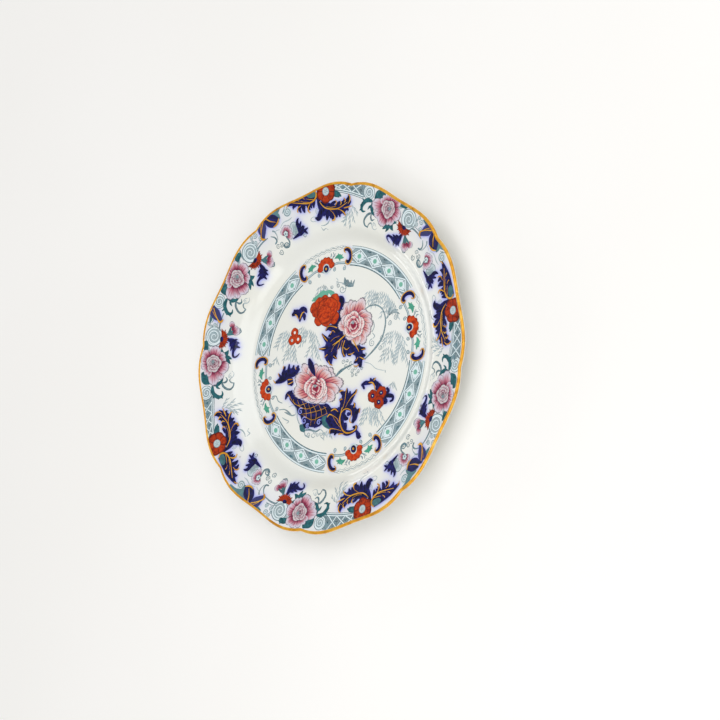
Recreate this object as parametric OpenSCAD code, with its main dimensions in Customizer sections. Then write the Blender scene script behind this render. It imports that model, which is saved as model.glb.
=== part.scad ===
// China dinner plate with a scalloped, gilded edge and coloured decoration.
// The plate lies on its foot ring: origin at the centre of the resting plane, +Z up.
// Angles run anticlockwise from +X. One dip in the edge points along +X.

/* [Plate] */
// Radius of the plate at the top of a scallop
crest_radius = 127; // [120:0.5:134]
// How much lower the edge is halfway between two crests
scallop_drop = 2.8; // [1:0.1:3.5]
// How deep each small nick in the edge is below its crests
nick_depth = 1.9; // [1:0.1:2.5]
// Number of nicks around the edge
nick_count = 8; // [6:1:10]
// Height of the flat well face above the table
well_height = 7.5; // [6.5:0.1:9]
// Height of the face at the edge above the well face
rim_rise = 13.6; // [10:0.1:16]
// Radius where the flat well ends
well_radius = 83; // [81:0.5:85]
// Radius where the straight rim begins
rim_start = 98; // [96:0.5:99]
// Part of the rise that the curved shoulder makes
shoulder_share = 0.61; // [0.4:0.01:0.7]
// Thickness of the well, measured upright
wall = 4.5; // [3.8:0.1:5]
// Thickness at the edge, measured upright
edge_wall = 2.6; // [2.2:0.1:3.2]

/* [Foot ring] */
// Outer radius of the foot ring
foot_radius = 78; // [74:0.5:80]
// Width of the foot ring
foot_width = 5; // [4:0.5:7]
// Rounding of the foot ring's lower edges
foot_round = 1.2; // [0.5:0.1:1.8]

/* [Coatings] */
// Thickness of the glaze
glaze = 0.3; // [0.25:0.05:0.4]
// Thickness of the print, enamel and gold
enamel = 0.25; // [0.2:0.05:0.4]
// Width of the gold band on the face
gilt_width = 2; // [1.5:0.1:3]

/* [Rim decoration] */
// Direction and distance of each red rim flower
flower_spots = [[101.3, 121.3], [19.3, 117.7], [-62.2, 117.8], [-143.5, 119]];
// Direction and distance of each rim peony
peony_spots = [[70.5, 114.5], [-9.9, 114.3], [-92.5, 113], [-174, 113.6], [152.7, 114.2]];
// Direction and distance of each red half daisy
daisy_spots = [[60.4, 108.3], [-19.4, 109.2], [-101.3, 107.3], [176.7, 108], [142.5, 108]];
// Direction and distance of each pair of rim leaves
pair_spots = [[48, 122.5], [-33.2, 121.5], [-115.6, 121.5], [130.3, 122.5]];
// Direction and distance of each pink half flower
half_spots = [[42.8, 107.3], [-37.3, 106.8], [-119.2, 105], [124.4, 105.8]];
// Width of the latticed band along the rim
lattice_width = 7; // [5:0.5:8]

/* [Well decoration] */
// Outer radius of the printed ring in the well
ring_outer = 80.6; // [79:0.1:81]
// Inner radius of the printed ring in the well
ring_inner = 68.9; // [67:0.1:71]
// Directions of the four cartouches in the ring
cartouche_angles = [22.6, 110.3, 202.6, 293.9];
// Angle from a cartouche to the brackets at its ends
bracket_angle = 18; // [16:0.5:19]

/* [Hidden] */

$fn = 48;
edge_step = 2.5;
shoulder_steps = 10;
nick_half = 7.5;
nick_pitch = 360 / nick_count;
rim_slope = rim_rise * (1 - shoulder_share) / (crest_radius - rim_start);
skin_start = rim_start + 0.5;
over = 1;
plate_top = well_height + rim_rise + 5;
cobalt = "#1e1b5a";
print_teal = "#5e8c92";
rose = "#d98aa0";
iron_red = "#b8340f";
gold = "#e3a531";
porcelain = "#ecebe6";

// Radius of the edge in direction a: small nicks with a wide, shallow scallop between them
function to_nick(a) = abs((a + nick_pitch / 2) % nick_pitch - nick_pitch / 2);
function nick_dip(t) = nick_depth * pow(1 - t / nick_half, 2);
function scallop_dip(t) = scallop_drop / 2 * (1 - cos((t - nick_half) * 180 / (nick_pitch / 2 - nick_half)));
function edge_radius(a) = crest_radius - (to_nick(a) < nick_half ? nick_dip(to_nick(a)) : scallop_dip(to_nick(a)));

// Height of the face at radius r: flat well, S-shaped shoulder, straight rim
function ease(t) = t * t * (3 - 2 * t);
function shoulder_part(r) = min(1, max(0, (r - well_radius) / (rim_start - well_radius)));
function face_z(r) = well_height + rim_rise * shoulder_share * ease(shoulder_part(r))
    + rim_slope * max(0, r - rim_start);
function face_line(r0, r1, lift) = concat(
    [[r0, face_z(r0) + lift]],
    [for (i = [0 : shoulder_steps])
        let (r = well_radius + (rim_start - well_radius) * i / shoulder_steps)
        if (r > r0 && r < r1) [r, face_z(r) + lift]],
    [[r1, face_z(r1) + lift]]
);
function wall_at(r) = wall - (wall - edge_wall) * max(0, r - well_radius) / (crest_radius - well_radius);
function under_line(r0, r1, lift) = [for (p = face_line(r0, r1, lift)) [p[0], p[1] - wall_at(p[0])]];
function reversed(list) = [for (i = [len(list) - 1 : -1 : 0]) list[i]];

// A ring of the ware between two levels, both measured from the face
module layer(r0, r1, low, high) {
    rotate_extrude($fn = 96) polygon(concat(face_line(r0, r1, low), reversed(face_line(r0, r1, high))));
}

module edge_area(inset) {
    polygon([for (a = [0 : edge_step : 360 - edge_step]) (edge_radius(a) - inset) * [cos(a), sin(a)]]);
}

module inside_edge(inset) {
    intersection() {
        children();
        linear_extrude(plate_top) edge_area(inset);
    }
}

// Flat decoration on the well face
module on_well() {
    translate([0, 0, well_height]) linear_extrude(enamel) children();
}

// Decoration on the sloping rim, drawn around a spot of [direction, distance]:
// its +X points outwards and its +Y anticlockwise. The offset is added to the spot.
module on_rim(spot, offset = [0, 0]) {
    intersection() {
        inside_edge(gilt_width + enamel + 0.2) layer(skin_start, crest_radius, 0, enamel);
        rotate([0, 0, spot[0] + offset[0]]) translate([spot[1] + offset[1], 0, well_height]) {
            linear_extrude(plate_top) children();
        }
    }
}

module scalloped_disc(radius, lobes) {
    circle(r = radius * 0.8);
    for (i = [0 : lobes - 1]) rotate(i * 360 / lobes) translate([radius * 0.68, 0]) circle(r = radius * 0.32);
}

// A leaf with saw-toothed sides from the origin along +X
module toothed_leaf(length, width, teeth) {
    side = [for (i = [0 : 2 * teeth - 1])
        let (t = (i + 0.5) / (2 * teeth), reach = i % 2 == 0 ? 0.62 : 1)
        [length * t, width / 2 * reach * pow(sin(180 * pow(t, 0.8)), 0.7)]];
    polygon(concat([[0, 0]], side, [[length, 0]], reversed([for (p = side) [p[0], -p[1]]])));
}

module arc_band(radius, width, from, to) {
    steps = ceil((to - from) / 6);
    polygon(concat(
        [for (i = [0 : steps]) (radius - width / 2) * [cos(from + (to - from) * i / steps), sin(from + (to - from) * i / steps)]],
        [for (i = [steps : -1 : 0]) (radius + width / 2) * [cos(from + (to - from) * i / steps), sin(from + (to - from) * i / steps)]]
    ));
}

// The fired clay: well, shoulder, rim and foot ring in one piece
module clay_body() {
    color(porcelain) {
        inside_edge(enamel) rotate_extrude($fn = 96) polygon(concat(
            [[0, well_height - glaze]],
            face_line(well_radius, crest_radius + over, -glaze),
            reversed(under_line(well_radius, crest_radius + over, glaze)),
            [[0, well_height - wall + glaze]]
        ));
        rotate_extrude($fn = 96) polygon([
            [foot_radius - foot_width, well_height - wall + glaze + over / 2],
            [foot_radius - foot_width, foot_round],
            [foot_radius - foot_width + foot_round, 0],
            [foot_radius - foot_round, 0],
            [foot_radius, foot_round],
            [foot_radius, well_height - wall + glaze + over / 2]
        ]);
    }
}

// Clear glaze over the whole face
module face_glaze() {
    color(porcelain) inside_edge(enamel) rotate_extrude($fn = 96) polygon(concat(
        [[0, well_height]],
        face_line(well_radius, crest_radius + over, 0),
        reversed(face_line(well_radius, crest_radius + over, -glaze)),
        [[0, well_height - glaze]]
    ));
}

// Clear glaze under the plate, wiped off the foot ring
module back_glaze() {
    color(porcelain) {
        inside_edge(enamel) rotate_extrude($fn = 96) polygon(concat(
            under_line(foot_radius, crest_radius + over, 0),
            reversed(under_line(foot_radius, crest_radius + over, glaze))
        ));
        translate([0, 0, well_height - wall]) cylinder(r = foot_radius - foot_width, h = glaze, $fn = 96);
    }
}

// Gold band on the face that turns down over the edge
module gilt_edge() {
    color(gold) {
        difference() {
            inside_edge(0) layer(crest_radius - 12, crest_radius + over, 0, enamel);
            linear_extrude(plate_top) edge_area(gilt_width);
        }
        difference() {
            inside_edge(0) layer(crest_radius - 12, crest_radius + over, -edge_wall / 2, 0);
            linear_extrude(plate_top) edge_area(enamel);
        }
    }
}

// Bouquet in the well: outlines first, because the upper ones are cut out of the lower ones
module peony_area(i) {
    if (i == 1) translate([-15, -20]) scale([1.25, 0.85]) scalloped_disc(18, 9);
    if (i == 2) translate([12, 27]) scalloped_disc(16, 9);
}

module red_peony_area() {
    translate([-19, 35]) scalloped_disc(10.6, 8);
}

module all_peony_areas() {
    peony_area(1);
    peony_area(2);
    red_peony_area();
}

module basket_area() {
    polygon([
        [-45, -28],
        [-38, -25],
        [0, -33],
        [0, -41],
        [-9, -45],
        [-12, -51],
        [-24, -49],
        [-26, -42],
        [-33, -38],
        [-45, -34]
    ]);
}

module centre_peony(i) {
    color(rose) on_well() peony_area(i);
}

module centre_red_peony() {
    color(iron_red) on_well() red_peony_area();
}

module centre_basket() {
    color(cobalt) on_well() difference() {
        basket_area();
        peony_area(1);
    }
}

module centre_leaves() {
    color(cobalt) on_well() difference() {
        union() {
            translate([2, 20]) rotate(242) toothed_leaf(26, 17, 5);
            translate([0, 14]) rotate(-38) toothed_leaf(27, 13, 5);
            translate([-5, 22]) rotate(94) toothed_leaf(23, 8, 4);
            translate([-35, -9]) rotate(208) toothed_leaf(26, 10, 4);
        }
        all_peony_areas();
    }
}

module centre_acanthus() {
    color(cobalt) on_well() difference() {
        union() {
            translate([12, -53]) rotate(87) toothed_leaf(33, 12, 5);
            translate([12, -45]) rotate(30) toothed_leaf(19, 9, 3);
            translate([12, -49]) rotate(-6) toothed_leaf(20, 7, 3);
            translate([14, -47]) rotate(160) toothed_leaf(15, 10, 3);
        }
        peony_area(1);
        basket_area();
    }
}

module centre_berries() {
    color(iron_red) on_well() for (a = [0 : 120 : 240]) {
        translate([-44.7, 12.9]) rotate(a + 100) translate([4.1, 0]) circle(r = 3.3);
    }
}

module centre_sprigs() {
    color(iron_red) on_well() for (a = [0 : 120 : 240]) {
        translate([43.6, -24.3]) rotate(a + 56) translate([4.9, 0]) scalloped_disc(4.1, 6);
    }
}

module centre_butterfly() {
    color(cobalt) on_well() translate([-43.5, 29.5]) for (a = [20, 110, 200, 290]) {
        rotate(a) translate([1.5, 0]) toothed_leaf(7, 5, 3);
    }
}

// The printed ring between two cartouches: two border lines and a row of lozenges
module ring_lattice(i) {
    from = cartouche_angles[i - 1];
    to = i < 4 ? cartouche_angles[i] : cartouche_angles[0] + 360;
    half = (to - from) / 2 - bracket_angle - 5;
    lozenge = 7.6;
    color(print_teal) on_well() rotate((from + to) / 2) {
        arc_band(ring_outer - 0.6, 1.2, -half, half);
        arc_band(ring_inner + 0.6, 1.2, -half, half);
        for (step = [-1.5 : 1 : 1.5]) {
            rotate(step * half / 2) translate([(ring_outer + ring_inner) / 2, 0]) scale([0.62, 1]) rotate(45) {
                square(lozenge, center = true);
            }
        }
    }
}

// One cartouche: a red fan with a cobalt bracket at each end of its panel
module ring_cartouche(i) {
    color(cobalt) on_well() rotate(cartouche_angles[i - 1]) {
        for (side = [-1, 1]) rotate(side * bracket_angle) translate([(ring_outer + ring_inner) / 2, 0]) {
            rotate(side > 0 ? 0 : 180) arc_band(4.4, 2.4, 0, 180);
        }
        translate([71.5, 0]) scalloped_disc(6, 7);
    }
}

module rim_flower(i) {
    color(iron_red) on_rim(flower_spots[i - 1]) scalloped_disc(7.9, 6);
}

// Two leaves beside a red flower: one back along the rim, one curling below the flower
module rim_acanthus(i) {
    color(cobalt) {
        on_rim(flower_spots[i - 1], [4.7, -2]) rotate(92) toothed_leaf(27, 10, 5);
        on_rim(flower_spots[i - 1], [4.5, -13.8]) rotate(-91) toothed_leaf(34, 9.5, 6);
    }
}

// Latticed band from a red flower to its scroll
module rim_lattice(i) {
    middle = flower_spots[i - 1][1] + 0.5;
    color(print_teal) on_rim([flower_spots[i - 1][0], 0]) {
        difference() {
            arc_band(middle, lattice_width, -18, -5);
            for (a = [-16.5 : 4 : -6]) rotate(a) translate([middle, 0]) rotate(45) square(3.4, center = true);
        }
    }
}

// Two leaves that hang from the gold band
module rim_leaf_pair(i) {
    color(cobalt) on_rim(pair_spots[i - 1]) {
        translate([0, 1.4]) rotate(138) toothed_leaf(11.5, 6, 3);
        translate([0, -1.4]) rotate(-126) toothed_leaf(11.5, 6, 3);
    }
}

module rim_half_flower(i) {
    color(rose) on_rim(half_spots[i - 1]) scalloped_disc(5.4, 6);
}

// Leaf beside each half flower, shaped like a fish's tail
module rim_sprig(i) {
    color(cobalt) on_rim(half_spots[i - 1], [-7, -5]) {
        translate([0, -5]) rotate(88) toothed_leaf(12, 4, 3);
        translate([0.5, -4]) rotate(8) toothed_leaf(9, 4.5, 3);
    }
}

module rim_peony(i) {
    color(rose) on_rim(peony_spots[i - 1]) scalloped_disc(10.4, 8);
}

// Spiral scroll after each peony
module rim_scroll(i) {
    color(print_teal) on_rim(daisy_spots[i - 1], [0, 8]) for (radius = [1.4, 3.4, 5.4]) {
        arc_band(radius, 0.9, 20 * radius, 20 * radius + 300);
    }
}

// Red half daisy under the scroll
module rim_daisy(i) {
    color(iron_red) on_rim(daisy_spots[i - 1]) intersection() {
        scalloped_disc(6.6, 11);
        translate([-20.1, -10]) square([20, 20]);
    }
}

clay_body();
face_glaze();
back_glaze();
gilt_edge();
centre_leaves();
centre_basket();
centre_acanthus();
centre_berries();
centre_sprigs();
centre_butterfly();
centre_red_peony();
for (i = [1 : 2]) centre_peony(i);
for (i = [1 : 4]) ring_lattice(i);
for (i = [1 : 4]) ring_cartouche(i);
for (i = [1 : 4]) rim_flower(i);
for (i = [1 : 4]) rim_acanthus(i);
for (i = [1 : 4]) rim_lattice(i);
for (i = [1 : 4]) rim_leaf_pair(i);
for (i = [1 : 4]) rim_half_flower(i);
for (i = [1 : 4]) rim_sprig(i);
for (i = [1 : 5]) rim_peony(i);
for (i = [1 : 5]) rim_scroll(i);
for (i = [1 : 5]) rim_daisy(i);
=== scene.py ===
import math

import bpy
import numpy as np
from mathutils import Matrix, Vector


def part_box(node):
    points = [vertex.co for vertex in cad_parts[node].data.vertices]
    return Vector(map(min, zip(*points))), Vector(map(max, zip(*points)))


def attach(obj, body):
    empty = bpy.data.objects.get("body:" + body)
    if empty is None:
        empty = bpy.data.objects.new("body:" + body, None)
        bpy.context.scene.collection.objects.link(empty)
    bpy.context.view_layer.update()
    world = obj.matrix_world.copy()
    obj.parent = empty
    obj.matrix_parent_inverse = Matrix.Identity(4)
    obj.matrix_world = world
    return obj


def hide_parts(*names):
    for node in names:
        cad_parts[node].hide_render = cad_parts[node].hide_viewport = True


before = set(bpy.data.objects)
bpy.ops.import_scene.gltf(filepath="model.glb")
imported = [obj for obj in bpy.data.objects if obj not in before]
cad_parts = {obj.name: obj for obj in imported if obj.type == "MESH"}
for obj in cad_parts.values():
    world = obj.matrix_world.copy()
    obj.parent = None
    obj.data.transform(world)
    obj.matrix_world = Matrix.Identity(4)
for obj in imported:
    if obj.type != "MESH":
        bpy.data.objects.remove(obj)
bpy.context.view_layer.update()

# ---------------------------------------------------------------- sizes, in millimetres
MM = 0.001
NICKS = 8
NICK_PITCH = 360 / NICKS
NICK_HALF = 7.5
NICK_DEPTH = 1.9
SCALLOP_DROP = 2.8
WELL_RADIUS = 83.0
RIM_START = 98.0
SHOULDER_SHARE = 0.61
WALL = 4.5
EDGE_WALL = 2.6
GLAZE = 0.3
FOOT_RADIUS = 78.0
FOOT_WIDTH = 5.0
GILT_WIDTH = 2.0
RIM_MIDDLE = 117.0
RING_MIDDLE = 75.0
LATTICE_HALF = 4.9
# Meshes: parts of a turn, the smallest ring round the centre, how far the lip bulges out for its height,
# the step along a brush stroke, and how much higher each stroke lies than the last (less for the willows)
TURNS = 720
HUB = 1.5
LIP_BULGE = 0.75
CURVE_STEP = 0.7
STROKE_RISE = 0.0006
WILLOW_RISE = 0.0003
FAINT_RISE = 0.0001

# The frame says where the well face and the edge are. The edge's furthest x lies inside the nick, short of
# the crest half a nick away from the X axis, so this crest is about 0.4 mm generous.
WELL_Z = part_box("centre_peony_1")[0][2] / MM
CREST = (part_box("gilt_edge")[1][0] / MM) / math.cos(math.radians(NICK_HALF))
EDGE_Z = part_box("face_glaze")[1][2] / MM
RIM_RISE = EDGE_Z - WELL_Z

# Where each motif is anchored: (direction in degrees, radius)
FLOWER_SPOTS = [(101.3, 121.3), (19.3, 117.7), (-62.2, 117.8), (-143.5, 119.0)]
PEONY_SPOTS = [(70.5, 114.5), (-9.9, 114.3), (-92.5, 113.0), (-174.0, 113.6), (152.7, 114.2)]
DAISY_SPOTS = [(60.4, 108.3), (-19.4, 109.2), (-101.3, 107.3), (176.7, 108.0), (142.5, 108.0)]
PAIR_SPOTS = [(48.0, 124.0), (-33.2, 121.5), (-115.6, 121.5), (130.3, 124.0)]
SINGLE_LEAF_SPOT = (166.0, 122.0)
HALF_SPOTS = [(42.8, 107.3), (-37.3, 106.8), (-119.2, 105.0), (124.4, 105.8)]
# Directions of the ring's cartouches, and where the lattice between two of them starts and ends
CARTOUCHES = [22.6, 110.3, 202.6, 293.9]
QUARTERS = [(91.1, 42.4), (181.7, 131.1), (272.0, 221.7), (362.6, 313.9)]


# ---------------------------------------------------------------- shape of the ware
def edge_radius(theta):
    """Radius of the edge in direction theta (radians): small nicks, wide shallow scallops."""
    turn = np.degrees(theta)
    t = np.abs((turn + NICK_PITCH / 2) % NICK_PITCH - NICK_PITCH / 2)
    dip = NICK_DEPTH * (1 - np.minimum(t, NICK_HALF) / NICK_HALF) ** 2
    span = NICK_PITCH / 2 - NICK_HALF
    sag = SCALLOP_DROP / 2 * (1 - np.cos(np.maximum(t - NICK_HALF, 0) / span * np.pi))
    return CREST - dip - sag


def face_z(r):
    """Height of the face: flat well, S-shaped shoulder, straight rim."""
    t = np.clip((r - WELL_RADIUS) / (RIM_START - WELL_RADIUS), 0, 1)
    slope = RIM_RISE * (1 - SHOULDER_SHARE) / (CREST - RIM_START)
    shoulder = RIM_RISE * SHOULDER_SHARE * t * t * (3 - 2 * t)
    return WELL_Z + shoulder + slope * np.maximum(r - RIM_START, 0)


def face_slope(r):
    """How steeply the face rises outwards."""
    return (face_z(r + 0.05) - face_z(r - 0.05)) / 0.1


def face_normals(x, y):
    """Unit normals of the face under points given in x and y."""
    r = np.hypot(x, y)
    safe = np.maximum(r, 1e-6)
    s = face_slope(r)
    n = np.stack([-s * x / safe, -s * y / safe, np.ones_like(x)], axis=-1)
    return n / np.linalg.norm(n, axis=-1, keepdims=True)


def drape(xy, lift):
    """Lays flat points on the face, lifted along its normal."""
    x, y = xy[:, 0], xy[:, 1]
    r = np.hypot(x, y)
    limit = edge_radius(np.arctan2(y, x)) - GILT_WIDTH - 0.25
    pull = np.minimum(1, limit / np.maximum(r, 1e-6))
    x, y, r = x * pull, y * pull, r * pull
    n = face_normals(x, y)
    return np.stack([x, y, face_z(r)], axis=1) + n * lift, n


def wall_at(r):
    """Thickness of the wall, thinning from the well to the edge."""
    return WALL - (WALL - EDGE_WALL) * np.clip((r - WELL_RADIUS) / (CREST - WELL_RADIUS), 0, 1)


# ---------------------------------------------------------------- mesh helpers
def link(obj):
    """Adds the object to the scene."""
    bpy.context.scene.collection.objects.link(obj)
    return obj


def lathe(name, loop, turns, centred=False):
    """Turns a loop of (radius, height) about Z. Beyond the rim's start the radius follows the edge.

    A centred loop starts and ends at the axis, and a point there closes it at each end.
    """
    theta = np.arange(turns) / turns * 2 * np.pi
    edge = edge_radius(theta)
    grow = (edge - RIM_START) / (CREST - RIM_START)
    points = []
    for r, z in loop:
        rr = np.where(r > RIM_START, RIM_START + (r - RIM_START) * grow, r)
        zz = z + face_z(rr) - face_z(np.full_like(rr, r))
        points.append(np.stack([rr * np.cos(theta), rr * np.sin(theta), zz], axis=1))
    count = len(loop)
    verts = np.concatenate(points) * MM
    rows = count - 1 if centred else count
    faces = []
    j = np.arange(turns)
    k = (j + 1) % turns
    for i in range(rows):
        a = i * turns
        b = ((i + 1) % count) * turns
        faces.append(np.stack([a + j, b + j, b + k, a + k], axis=1))
    quads = np.concatenate(faces).tolist()
    extra = []
    verts = verts.tolist()
    if centred:
        top = len(verts)
        low = top + 1
        base = (count - 1) * turns
        verts += [[0, 0, loop[0][1] * MM], [0, 0, loop[-1][1] * MM]]
        extra += [[top, a, b] for a, b in zip(j.tolist(), k.tolist())]
        extra += [[low, base + b, base + a] for a, b in zip(j.tolist(), k.tolist())]
    mesh = bpy.data.meshes.new(name)
    mesh.from_pydata(verts, [], quads + extra)
    mesh.update()
    mesh.polygons.foreach_set("use_smooth", [True] * len(mesh.polygons))
    return link(bpy.data.objects.new(name, mesh))


def float_layer(mesh, name, values):
    """Gives every vertex a number that a material can read by name."""
    layer = mesh.attributes.new(name, "FLOAT", "POINT")
    layer.data.foreach_set("value", np.asarray(values, dtype=np.float32))


def smooth(points):
    """A Catmull-Rom curve through given points of any dimension."""
    p = np.asarray(points, dtype=float)
    if len(p) == 2:
        middle = (p[0] + p[1]) / 2
        p = np.stack([p[0], middle, p[1]])
    ends = np.concatenate([[2 * p[0] - p[1]], p, [2 * p[-1] - p[-2]]])
    out = []
    for i in range(1, len(ends) - 2):
        a, b, c, d = ends[i - 1], ends[i], ends[i + 1], ends[i + 2]
        n = max(2, int(np.linalg.norm((c - b)[:2]) / CURVE_STEP))
        t = (np.arange(n) / n)[:, None]
        out.append(0.5 * (2 * b + (c - a) * t + (2 * a - 5 * b + 4 * c - d) * t ** 2
                          + (3 * b - a - 3 * c + d) * t ** 3))
    out.append(p[-1:])
    return np.concatenate(out)


class Decal:
    """One piece of decoration: strokes and petals laid on the face, each a hair above the last."""

    def __init__(self, name, material, lift, node=None, slot=None):
        self.name = name
        self.material = material
        self.lift = lift
        self.rise = STROKE_RISE
        self.node = node
        self.slot = slot
        self.points = []
        self.lifts = []
        self.faces = []
        self.along = []
        self.across = []
        self.tone = []
        self.count = 0

    def grid(self, xy, u, v, tone):
        """A sheet of points at the decal's present lift, with how far along and across each point is."""
        rows, cols = xy.shape[:2]
        self.points.append(xy.reshape(-1, 2))
        self.along.append(u.reshape(-1))
        self.across.append(v.reshape(-1))
        self.tone.append(np.full(rows * cols, tone))
        self.lifts.append(np.full(rows * cols, self.lift))
        a = np.arange(rows - 1)[:, None] * cols + np.arange(cols - 1)[None, :] + self.count
        quads = np.stack([a, a + 1, a + cols + 1, a + cols], axis=-1).reshape(-1, 4)
        self.faces.append(self.facing_up(quads, xy.reshape(-1, 2)))
        self.count += rows * cols
        self.lift += self.rise

    def facing_up(self, quads, flat):
        """Turns every quad to face up and drops those with no area."""
        p = flat[quads - self.count]
        area = np.zeros(len(quads))
        for i in range(4):
            q, n = p[:, i], p[:, (i + 1) % 4]
            area += q[:, 0] * n[:, 1] - q[:, 1] * n[:, 0]
        turned = quads.copy()
        turned[area < 0] = quads[area < 0][:, ::-1]
        return turned[np.abs(area) > 1e-7]

    def stroke(self, place, points, tone=1.0, widen=1.0):
        """A brush stroke through (x, y, width) points."""
        path = smooth(points)
        flat = place(path[:, :2])
        width = np.maximum(path[:, 2] * widen, 0.06)
        tangent = np.gradient(flat, axis=0)
        tangent /= np.maximum(np.linalg.norm(tangent, axis=1, keepdims=True), 1e-9)
        normal = np.stack([-tangent[:, 1], tangent[:, 0]], axis=1)
        n = len(path)
        v = np.array([-1.0, -0.5, 0.0, 0.5, 1.0]) if width.max() > 1.5 else np.array([-1.0, 0.0, 1.0])
        u = np.linspace(0, 1, n)
        body = flat[:, None, :] + normal[:, None, :] * (v[None, :, None] * width[:, None, None] / 2)
        # Rounded ends: two shortened rows past each end
        caps = []
        for row, sign in ((0, -1), (-1, 1)):
            half = width[row] / 2
            for reach, shrink in ((0.6, 0.8), (0.92, 0.4)):
                base = flat[row] + tangent[row] * sign * half * reach
                caps.append(base[None, :] + normal[row][None, :] * (v[:, None] * half * shrink))
        rows = np.concatenate([[caps[1]], [caps[0]], body, [caps[2]], [caps[3]]])
        uu = np.concatenate([[0, 0], u, [1, 1]])
        self.grid(rows, np.repeat(uu[:, None], len(v), 1), np.repeat(v[None, :], len(uu), 0), tone)

    def strokes(self, place, shapes, tone=1.0, widen=1.0):
        """Several brush strokes of one tone."""
        for points in shapes:
            self.stroke(place, points, tone, widen)

    def petal(self, place, base, tip, width, tone, root=0.25, notch=0.05, lobes=2):
        """A fan-shaped petal: narrow at its base, with a rounded, lobed end."""
        base, tip = np.asarray(base, float), np.asarray(tip, float)
        way = tip - base
        side = np.array([-way[1], way[0]]) / np.linalg.norm(way)
        u = np.linspace(0, 1, 9)[:, None]
        v = np.linspace(-1, 1, 13)[None, :]
        spread = root + (1 - root) * np.sin(np.minimum(u / 0.8, 1) * np.pi / 2)
        reach = u * (1 - 0.30 * v ** 2 - notch * np.cos(v * np.pi * lobes) ** 2)
        xy = base + reach[..., None] * way + (spread * v * np.sqrt(1 - 0.25 * (u * v) ** 2))[...,
            None] * side * width / 2
        flat = place(xy.reshape(-1, 2)).reshape(xy.shape)
        self.grid(flat, np.repeat(u, 13, 1), np.repeat(v, 9, 0), tone)

    def disc(self, place, centre, radius, tone=1.0, lobes=0, depth=0.1, squash=1.0, turn=0.0, steps=48,
             hole=0.0):
        """A round patch, or a scalloped one when it has lobes."""
        a = np.linspace(0, 2 * np.pi, steps + 1)
        wave = 1 - depth * (1 - np.abs(np.cos(a * lobes / 2))) if lobes else np.ones_like(a)
        s = np.linspace(hole, 1, 6)[:, None]
        r = radius * wave[None, :] * s
        c, w = math.cos(math.radians(turn)), math.sin(math.radians(turn))
        x, y = r * np.cos(a), r * np.sin(a) * squash
        xy = np.stack([centre[0] + x * c - y * w, centre[1] + x * w + y * c], axis=-1)
        flat = place(xy.reshape(-1, 2)).reshape(xy.shape)
        self.grid(flat, np.repeat(s, steps + 1, 1), np.repeat((a / np.pi - 1)[None, :], 6, 0), tone)

    def spiral(self, place, centre, outer, inner, turns, start, width, tone, hand=1):
        """A brush stroke wound from the outer to the inner radius, thinner as it goes."""
        a = np.linspace(0, 1, max(8, int(turns * 14)))
        r = outer + (inner - outer) * a
        angle = np.radians(start) + hand * a * turns * 2 * np.pi
        w = width * (1 - 0.4 * a)
        self.stroke(place, np.stack([centre[0] + r * np.cos(angle), centre[1] + r * np.sin(angle), w],
                                    axis=1), tone)

    def build(self):
        """Makes the mesh, drapes it over the face and hides the CAD parts that it replaces."""
        xy = np.concatenate(self.points)
        lift = np.concatenate(self.lifts)
        verts, normals = drape(xy, lift[:, None])
        mesh = bpy.data.meshes.new(self.name)
        mesh.from_pydata((verts * MM).tolist(), [], np.concatenate(self.faces).tolist())
        mesh.update()
        mesh.polygons.foreach_set("use_smooth", [True] * len(mesh.polygons))
        mesh.normals_split_custom_set_from_vertices(normals.tolist())
        float_layer(mesh, "along", np.concatenate(self.along))
        float_layer(mesh, "across", np.concatenate(self.across))
        float_layer(mesh, "tone", np.concatenate(self.tone))
        mesh.materials.append(self.material)
        obj = link(bpy.data.objects.new(self.name, mesh))
        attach(obj, "root")
        if self.node:
            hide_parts(*self.node)
        return obj


def flat(xy):
    """Places a motif drawn in the plate's own millimetres."""
    return np.asarray(xy, float)


def at_rim(spot):
    """Places a motif drawn around (0, 0), +x clockwise along the rim and +y outwards, at (angle, radius)."""
    angle, radius = spot

    def place(xy):
        xy = np.asarray(xy, float)
        theta = math.radians(angle) - xy[:, 0] / RIM_MIDDLE
        r = radius + xy[:, 1]
        return np.stack([r * np.cos(theta), r * np.sin(theta)], axis=1)

    return place


def polar(angle):
    """Places a motif drawn as (arc length in mid-ring, clockwise from the angle; radius)."""

    def place(xy):
        xy = np.asarray(xy, float)
        theta = math.radians(angle) - xy[:, 0] / RING_MIDDLE
        return np.stack([xy[:, 1] * np.cos(theta), xy[:, 1] * np.sin(theta)], axis=1)

    return place


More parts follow.
